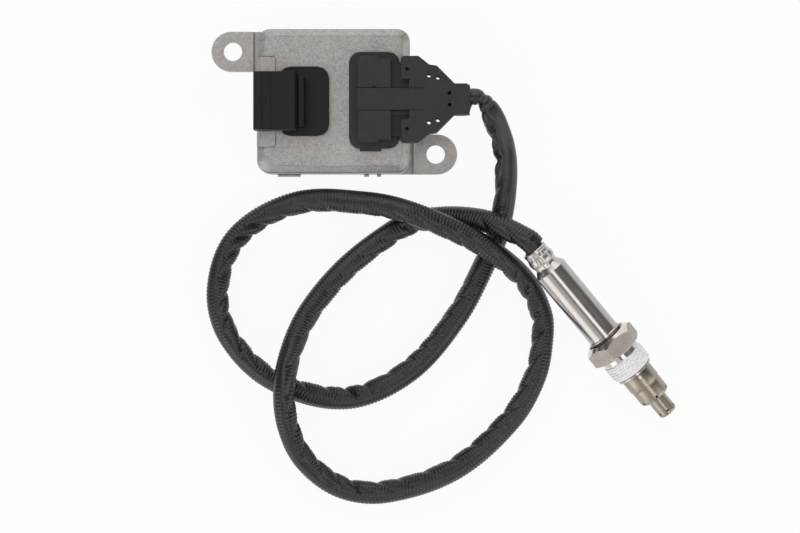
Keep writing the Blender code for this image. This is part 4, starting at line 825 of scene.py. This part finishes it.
class SENSOR_OT_probe_plug(bpy.types.Operator):
    """Make the plug on the probe's side with its boot."""

    bl_idname = "sensor.probe_plug"
    bl_label = "Probe Plug and Boot"

    def execute(self, context):
        settings = context.scene.sensor_module
        base_skin = moulded("plug_black", scaled(tuple(settings.boot), 0.72), 0.5,
                            Specular_IOR_Level=0.35)
        boot_skin = moulded("boot_charcoal", tuple(settings.boot), 0.58, 2100.0, 0.4,
                            Specular_IOR_Level=0.25)
        marks = {
            "boot_upper": [block((0.0312, y - 0.00016, BOOT_TOP - 0.0003),
                                 (0.0426, y + 0.00016, BOOT_TOP + 0.001))
                           for y in (-0.00505, 0.00505)],
            "plug_housing": [rod((0.0157, 0.01724, BOOT_TOP - 0.0003),
                                 (0.0157, 0.01724, BOOT_TOP + 0.001), 0.0005, 16)]}

        def housing_corner(place):
            if abs(place.y) < 0.018:
                return 0.0008
            return 0.0024 if place.x < 0.014 else 0.0019

        def boot_corner(place):
            return 0.0009

        for node, width, upright, skin, slot in (
                ("plug_base", 0.00045, None, base_skin, "connector_black"),
                ("plug_housing", 0.0003, housing_corner, boot_skin, "boot_charcoal"),
                ("boot_upper", 0.0002, boot_corner, boot_skin, "boot_charcoal"),
                ("boot_lower", 0.0004, boot_corner, boot_skin, "boot_charcoal")):
            item = from_node(node + "_moulded", node)
            for tool in marks.get(node, ()):
                combine(item, [tool])
            soften(item, width, 2, 40.0, upright)
            settle(item, skin, ASSEMBLY, slot, node)
        return {'FINISHED'}


class SENSOR_OT_probe_tube(bpy.types.Operator):
    """Make the polished sleeve of the probe with its crimped neck."""

    bl_idname = "sensor.probe_tube"
    bl_label = "Probe Sleeve"

    def execute(self, context):
        settings = context.scene.sensor_probe
        neck = [(5.4, 0.3), (5.7, 0.55), (5.95, 1.1), (5.95, 1.7), (5.75, 2.1), (5.75, 3.6),
                (6.05, 4.3), (6.35, 5.2), (6.4, 6.0), (6.3, 6.9), (6.0, 7.6), (5.75, 8.1),
                (5.75, 9.6), (5.95, 10.1), (6.1, 10.3)]
        outer = dense(neck, 0.14)
        outer += [(6.3, 10.45), (7.55, 12.3), (7.78, 12.55), (7.9, 12.8)]
        outer += dense([(7.9, 12.85), (7.9, 51.5)], 6.0)
        outer += [(7.92, 51.8), (8.2, 52.2), (8.38, 52.5), (8.38, 52.8), (8.2, 53.1), (7.9, 53.5),
                  (7.9, 55.0)]
        inner = [(7.2, 55.0), (7.2, 13.0), (4.9, 10.1), (4.9, 0.3)]

        def dented(radius, station, angles):
            reach = np.full(len(angles), radius)
            if not 0.6 < station < 10.5 or radius < 5.3:
                return reach
            for middle, turn in ((2.85, 0.13), (8.9, 0.33)):
                beside = math.exp(-((station - middle) / 1.05) ** 6)
                wave = np.cos(12 * (angles - turn))
                reach += beside * (0.11 * np.tanh(1.2 * wave) - 0.06)
            beside = math.exp(-((station - 5.9) / 1.5) ** 4)
            wave = np.cos(6 * (angles - 0.3))
            return reach - beside * 0.48 * np.clip(wave, 0.0, 1.0) ** 1.2

        tube = lathe("probe_sleeve_polished", outer + inner, 144, dented, True, 32.0)
        skin = Finish("polished_tube", 1.0)
        lines = skin.place.noise(40.0, 3.0, 0.7, stretch=(0.6, 0.6, 60.0))
        cloud = skin.place.noise(200.0, 3.0)
        neck_share = 1 - skin.z.rise(0.0122, 0.0130)
        tone = tuple(settings.tube)
        skin.set(Base_Color=neck_share.mix(skin.mottle(cloud, tone, 0.95, 1.0), scaled(tone, 1.08)),
                 Roughness=0.21 + (lines - 0.5) * 0.06 + (cloud - 0.5) * 0.05 + neck_share * 0.08)
        skin.bump(lines, 0.05, 0.00003)
        settle(tube, skin, ASSEMBLY, "polished_steel", "probe_sleeve")
        return {'FINISHED'}


class SENSOR_OT_nut(bpy.types.Operator):
    """Make the captive nut with its coated thread."""

    bl_idname = "sensor.nut"
    bl_label = "Nut"

    def execute(self, context):
        settings = context.scene.sensor_probe
        start, end = 53.8, 63.3
        flat = 11.5
        corner = flat / math.cos(math.pi / 6)
        turn = math.radians(18.8)
        angles = [turn + math.tau * index / 6 for index in range(6)]
        hexagon = loft("hex_nut_hexagon", [
            [mm(corner * math.cos(angle), corner * math.sin(angle), station) for angle in angles]
            for station in (start, end)])
        hexagon.matrix_world = PROBE_FRAME
        limit = lathe("limit", [(0.0, end + 1), (10.2, end + 0.5), (10.9, end - 0.05),
                                (11.4, end - 0.3), (13.6, end - 1.4), (13.6, start + 2.85),
                                (9.95, start + 0.05), (9.75, start - 0.1), (9.7, start - 1),
                                (0.0, start - 1)], 96)
        combine(hexagon, [limit], 'INTERSECT')
        bore = lathe("bore", [(0.0, end + 1), (8.2, end + 1), (8.2, start + 2.6), (9.15, start + 2.6),
                              (9.4, start + 2.3), (9.4, start + 0.25), (9.6, start - 0.1),
                              (9.6, start - 1), (0.0, start - 1)], 96)
        combine(hexagon, [bore])
        bevel(hexagon, 0.0002, 2, 24.0, 40.0)
        skin = Finish("nut_steel", 1.0)
        grain = skin.place.noise(1900.0, 2.0, 0.7)
        cloud = skin.place.noise(240.0, 3.0)
        across = skin.place.vector('LENGTH', skin.place.vector('MULTIPLY', skin.place, (1.0, 1.0, 0.0)),
                                   output=1)
        facing = skin.place.node("ShaderNodeNewGeometry", output=1)
        local = facing.node("ShaderNodeVectorTransform",
                            {"vector_type": 'NORMAL', "convert_from": 'WORLD',
                             "convert_to": 'OBJECT'}, {0: facing})
        along = abs(local.node("ShaderNodeSeparateXYZ", None, {0: local}, 2))
        on_flat = (1 - along.rise(0.05, 0.25)) * across.rise(0.0105, 0.0109)
        tone = tuple(settings.nut)
        flats = skin.mottle(cloud * 0.4 + grain * 0.6, tone, 0.84, 1.16)
        skin.set(Base_Color=on_flat.mix(scaled(tone, 1.7), flats),
                 Roughness=0.2 + on_flat * 0.34 + (grain - 0.5) * 0.15)
        skin.bump(grain * on_flat, 0.4, 0.00012)
        settle(hexagon, skin, NUT, "nut_steel", "hex_nut")

        pitch = settings.thread_pitch / MM
        relief, root, crest = 9.6, 9.7, 10.3
        thread_start, thread_end = 65.9, 73.7

        def threaded(radius, station, angles):
            if radius < 9.0 or station < end:
                return np.full(len(angles), radius)
            turns = (station - thread_start) / pitch - angles / math.tau
            ridge = 0.5 + 0.5 * np.cos(math.tau * turns)
            share = np.clip((station - thread_start) / 0.4, 0, 1) * np.clip(
                (thread_end - station) / 0.5, 0, 1)
            lumps = np.array([noise.noise(Vector((math.cos(a) * 1.3, math.sin(a) * 1.3,
                                                  station * 0.6))) for a in angles])
            filled = np.maximum(ridge, np.clip(0.06 + 0.7 * lumps, 0.0, 0.45))
            taper = np.clip((station - thread_end) / 0.8, 0, 1)
            return (1 - share) * (relief - 0.5 * taper) + share * (root + (crest - root) * filled)

        profile = [(8.2, end - 0.6), (9.8, end - 0.6), (9.8, end + 0.1), (relief, end + 0.35)]
        profile += dense([(relief, end + 0.5), (relief, 74.45)], 0.14)
        profile += [(8.9, 74.5), (8.2, 74.5)]
        shank = lathe("hex_nut_thread", profile, 144, threaded, True, 80.0)
        coat = Finish("thread_coating", 1.0)
        place = coat.place.noise(240.0, 3.0, 0.6)
        patch = coat.place.noise(110.0, 2.0)
        ribs = coat.place.noise(900.0, 2.0)
        white = (coat.z + (patch - 0.5) * 0.003).rise(0.0652, 0.0662) * (
            place * 0.7 + patch * 0.3).rise(0.24, 0.32)
        coat.set(Base_Color=white.mix((0.58, 0.56, 0.54), ribs.mix((0.77, 0.77, 0.79),
                                                                  (0.82, 0.82, 0.84))),
                 Metallic=1 - white, Roughness=0.16 + white * 0.42)
        coat.bump(place + ribs * 0.15, 0.05, 0.0002)
        settle(shank, coat, NUT, "nut_steel")
        return {'FINISHED'}


class SENSOR_OT_guards(bpy.types.Operator):
    """Make the sensor body's flange and the two guard tubes with their holes."""

    bl_idname = "sensor.guards"
    bl_label = "Guards"

    def execute(self, context):
        settings = context.scene.sensor_probe
        sides = settings.sides
        tone = tuple(settings.guard)
        body = lathe("sensor_body_turned", [
            (6.7, 80.3), (6.7, 76.0), (8.2, 76.0), (8.2, 75.7), (8.95, 75.7), (9.1, 75.55),
            (9.1, 74.95), (8.95, 74.8), (7.9, 74.8), (7.9, 55.3), (6.9, 55.3), (6.9, 49.3),
            (5.1, 49.3), (5.1, 77.8), (4.0, 77.8), (4.0, 80.3)], sides, None, True)
        steel = turned_metal("body_steel", (0.55, 0.52, 0.48), 0.25)
        settle(body, steel, ASSEMBLY, "guard_steel", "sensor_body")

        outer = [(5.9, 91.4)] + quarter(5.9, 89.7, 1.7, 90, 0, 6)
        outer += [(7.6, 84.7), (7.58, 84.1), (7.32, 83.75), (7.28, 83.55), (7.32, 83.35),
                  (7.82, 83.0), (7.9, 82.7), (7.9, 76.55), (7.8, 76.3), (7.0, 76.3), (7.0, 89.5),
                  (6.5, 90.4), (5.7, 90.8), (4.8, 90.8), (4.8, 91.4)]
        guard = lathe("outer_guard_drawn", outer, sides, None, True)
        tip = lathe("inner_guard_drawn", [
            (0.0, 101.1)] + quarter(3.5, 100.1, 1.0, 90, 0, 5) + [
            (4.5, 99.4), (4.5, 81.4), (6.7, 81.4), (6.7, 80.6), (3.9, 80.6), (3.9, 100.0),
            (3.4, 100.5), (0.0, 100.5)], sides)
        turn = math.radians(0.5)
        for item, low, high, radius in ((guard, (5.0, 88.6), (9.0, 90.4), 0.6),
                                        (tip, (2.6, 98.9), (5.5, 98.9), 0.55)):
            tools = []
            for index in range(6):
                angle = turn + math.tau * index / 6
                points = [PROBE_FRAME @ Vector((reach * math.cos(angle), reach * math.sin(angle),
                                                station)) for reach, station in (mm(*low), mm(*high))]
                tools.append(rod(*points, radius * MM, 16))
            combine(item, tools)
        skin = Finish("guard_steel", 1.0)
        rings = skin.place.noise(60.0, 3.0, 0.7, stretch=(0.6, 0.6, 90.0))
        cloud = skin.place.noise(160.0, 3.0)
        beside = turn + math.radians(2)
        spot = Vector((7.9 * math.cos(beside), 7.9 * math.sin(beside), 77.5)) * MM
        away = skin.place.vector('DISTANCE', skin.place, tuple(spot), output=1)
        weld = 1 - away.rise(0.0007, 0.0009)
        halo = away.near(0.0012, 0.0002, 0.0008)
        heat = 1 - skin.z.rise(0.0766, 0.0790)
        body_tone = skin.mottle(cloud * 0.7 + rings * 0.3, tone, 0.9, 1.08)
        tinted = (heat * 0.35).mix(body_tone, (0.36, 0.28, 0.18))
        ringed = (halo * 0.5).mix(tinted, (0.28, 0.17, 0.08))
        skin.set(Base_Color=(weld * 0.7).mix(ringed, (0.66, 0.62, 0.58)),
                 Roughness=0.3 + (rings - 0.5) * 0.14 + (cloud - 0.5) * 0.08)
        skin.bump(rings * 0.3 + weld, 0.2, 0.00012)
        for item, node in ((guard, "outer_guard"), (tip, "inner_guard")):
            settle(item, skin, ASSEMBLY, "guard_steel", node)
        return {'FINISHED'}


class SENSOR_OT_inner_parts(bpy.types.Operator):
    """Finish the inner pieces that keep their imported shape."""

    bl_idname = "sensor.inner_parts"
    bl_label = "Inner Parts"

    def execute(self, context):
        rubber = moulded("seal_rubber", (0.03, 0.03, 0.03), 0.75)
        black = moulded("component_black", (0.028, 0.028, 0.03), 0.5)
        brass = turned_metal("contact_brass", (0.80, 0.63, 0.33), 0.28)
        screw = turned_metal("screw_steel", (0.62, 0.61, 0.60), 0.3)
        ceramic = moulded("ceramic_white", (0.72, 0.70, 0.65), 0.5, 1500.0, 0.15)
        lead = moulded("lead_red", (0.33, 0.035, 0.025), 0.45)
        board = Finish("board_green")
        lanes = board.place.node("ShaderNodeTexBrick", {"offset": 0.5}, {
            "Vector": board.place, "Scale": 160.0, "Mortar Size": 0.06})
        mask = board.place.noise(500.0, 2.0)
        board.set(Base_Color=mask.mix((0.015, 0.10, 0.04), (0.03, 0.17, 0.07)),
                  Roughness=0.35 + mask * 0.1)
        board.bump(lanes, 0.2, 0.00005)
        for skin, prefixes in (
                (rubber, "cover_seal header_seal plug_seal neck_grommet"),
                (black, "controller_chip heater_driver"), (board, "circuit_board"),
                (screw, "board_screw filter_capacitor"), (lead, "plug_lead probe_lead"),
                (brass, "connector_pin plug_pin plug_terminal"),
                (ceramic, "contact_holder upper_insulator powder_seal lower_insulator "
                          "sensing_element")):
            for prefix in prefixes.split():
                found = [item for name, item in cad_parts.items() if name.startswith(prefix)]
                if not found:
                    raise RuntimeError(f"no node starts with {prefix}")
                for item in found:
                    dress(item, skin)
        return {'FINISHED'}


class SENSOR_PT_panel(bpy.types.Panel):
    """List the settings and the steps."""

    bl_idname = "SENSOR_PT_panel"
    bl_label = "Exhaust Sensor"
    bl_space_type = 'VIEW_3D'
    bl_region_type = 'UI'
    bl_category = "Sensor"

    def draw(self, context):
        for key in SETTINGS:
            group = getattr(context.scene, key)
            box = self.layout.box()
            for name in group.__annotations__:
                box.prop(group, name)
        for step in STEPS:
            self.layout.operator(step.bl_idname)


SETTINGS = {"sensor_sleeve": SleeveSettings, "sensor_module": ModuleSettings,
            "sensor_probe": ProbeSettings}
STEPS = (SENSOR_OT_stage, SENSOR_OT_sleeve, SENSOR_OT_housing, SENSOR_OT_vehicle_connector,
         SENSOR_OT_probe_plug, SENSOR_OT_probe_tube, SENSOR_OT_nut, SENSOR_OT_guards,
         SENSOR_OT_inner_parts)


def register():
    for item in (*SETTINGS.values(), *STEPS, SENSOR_PT_panel):
        bpy.utils.register_class(item)
    for key, group in SETTINGS.items():
        setattr(bpy.types.Scene, key, PointerProperty(type=group))


def unregister():
    for key in SETTINGS:
        delattr(bpy.types.Scene, key)
    for item in (SENSOR_PT_panel, *reversed(STEPS), *SETTINGS.values()):
        bpy.utils.unregister_class(item)


def main():
    register()
    for step in STEPS:
        group, name = step.bl_idname.split(".")
        getattr(getattr(bpy.ops, group), name)()


if __name__ == "__main__":
    main()
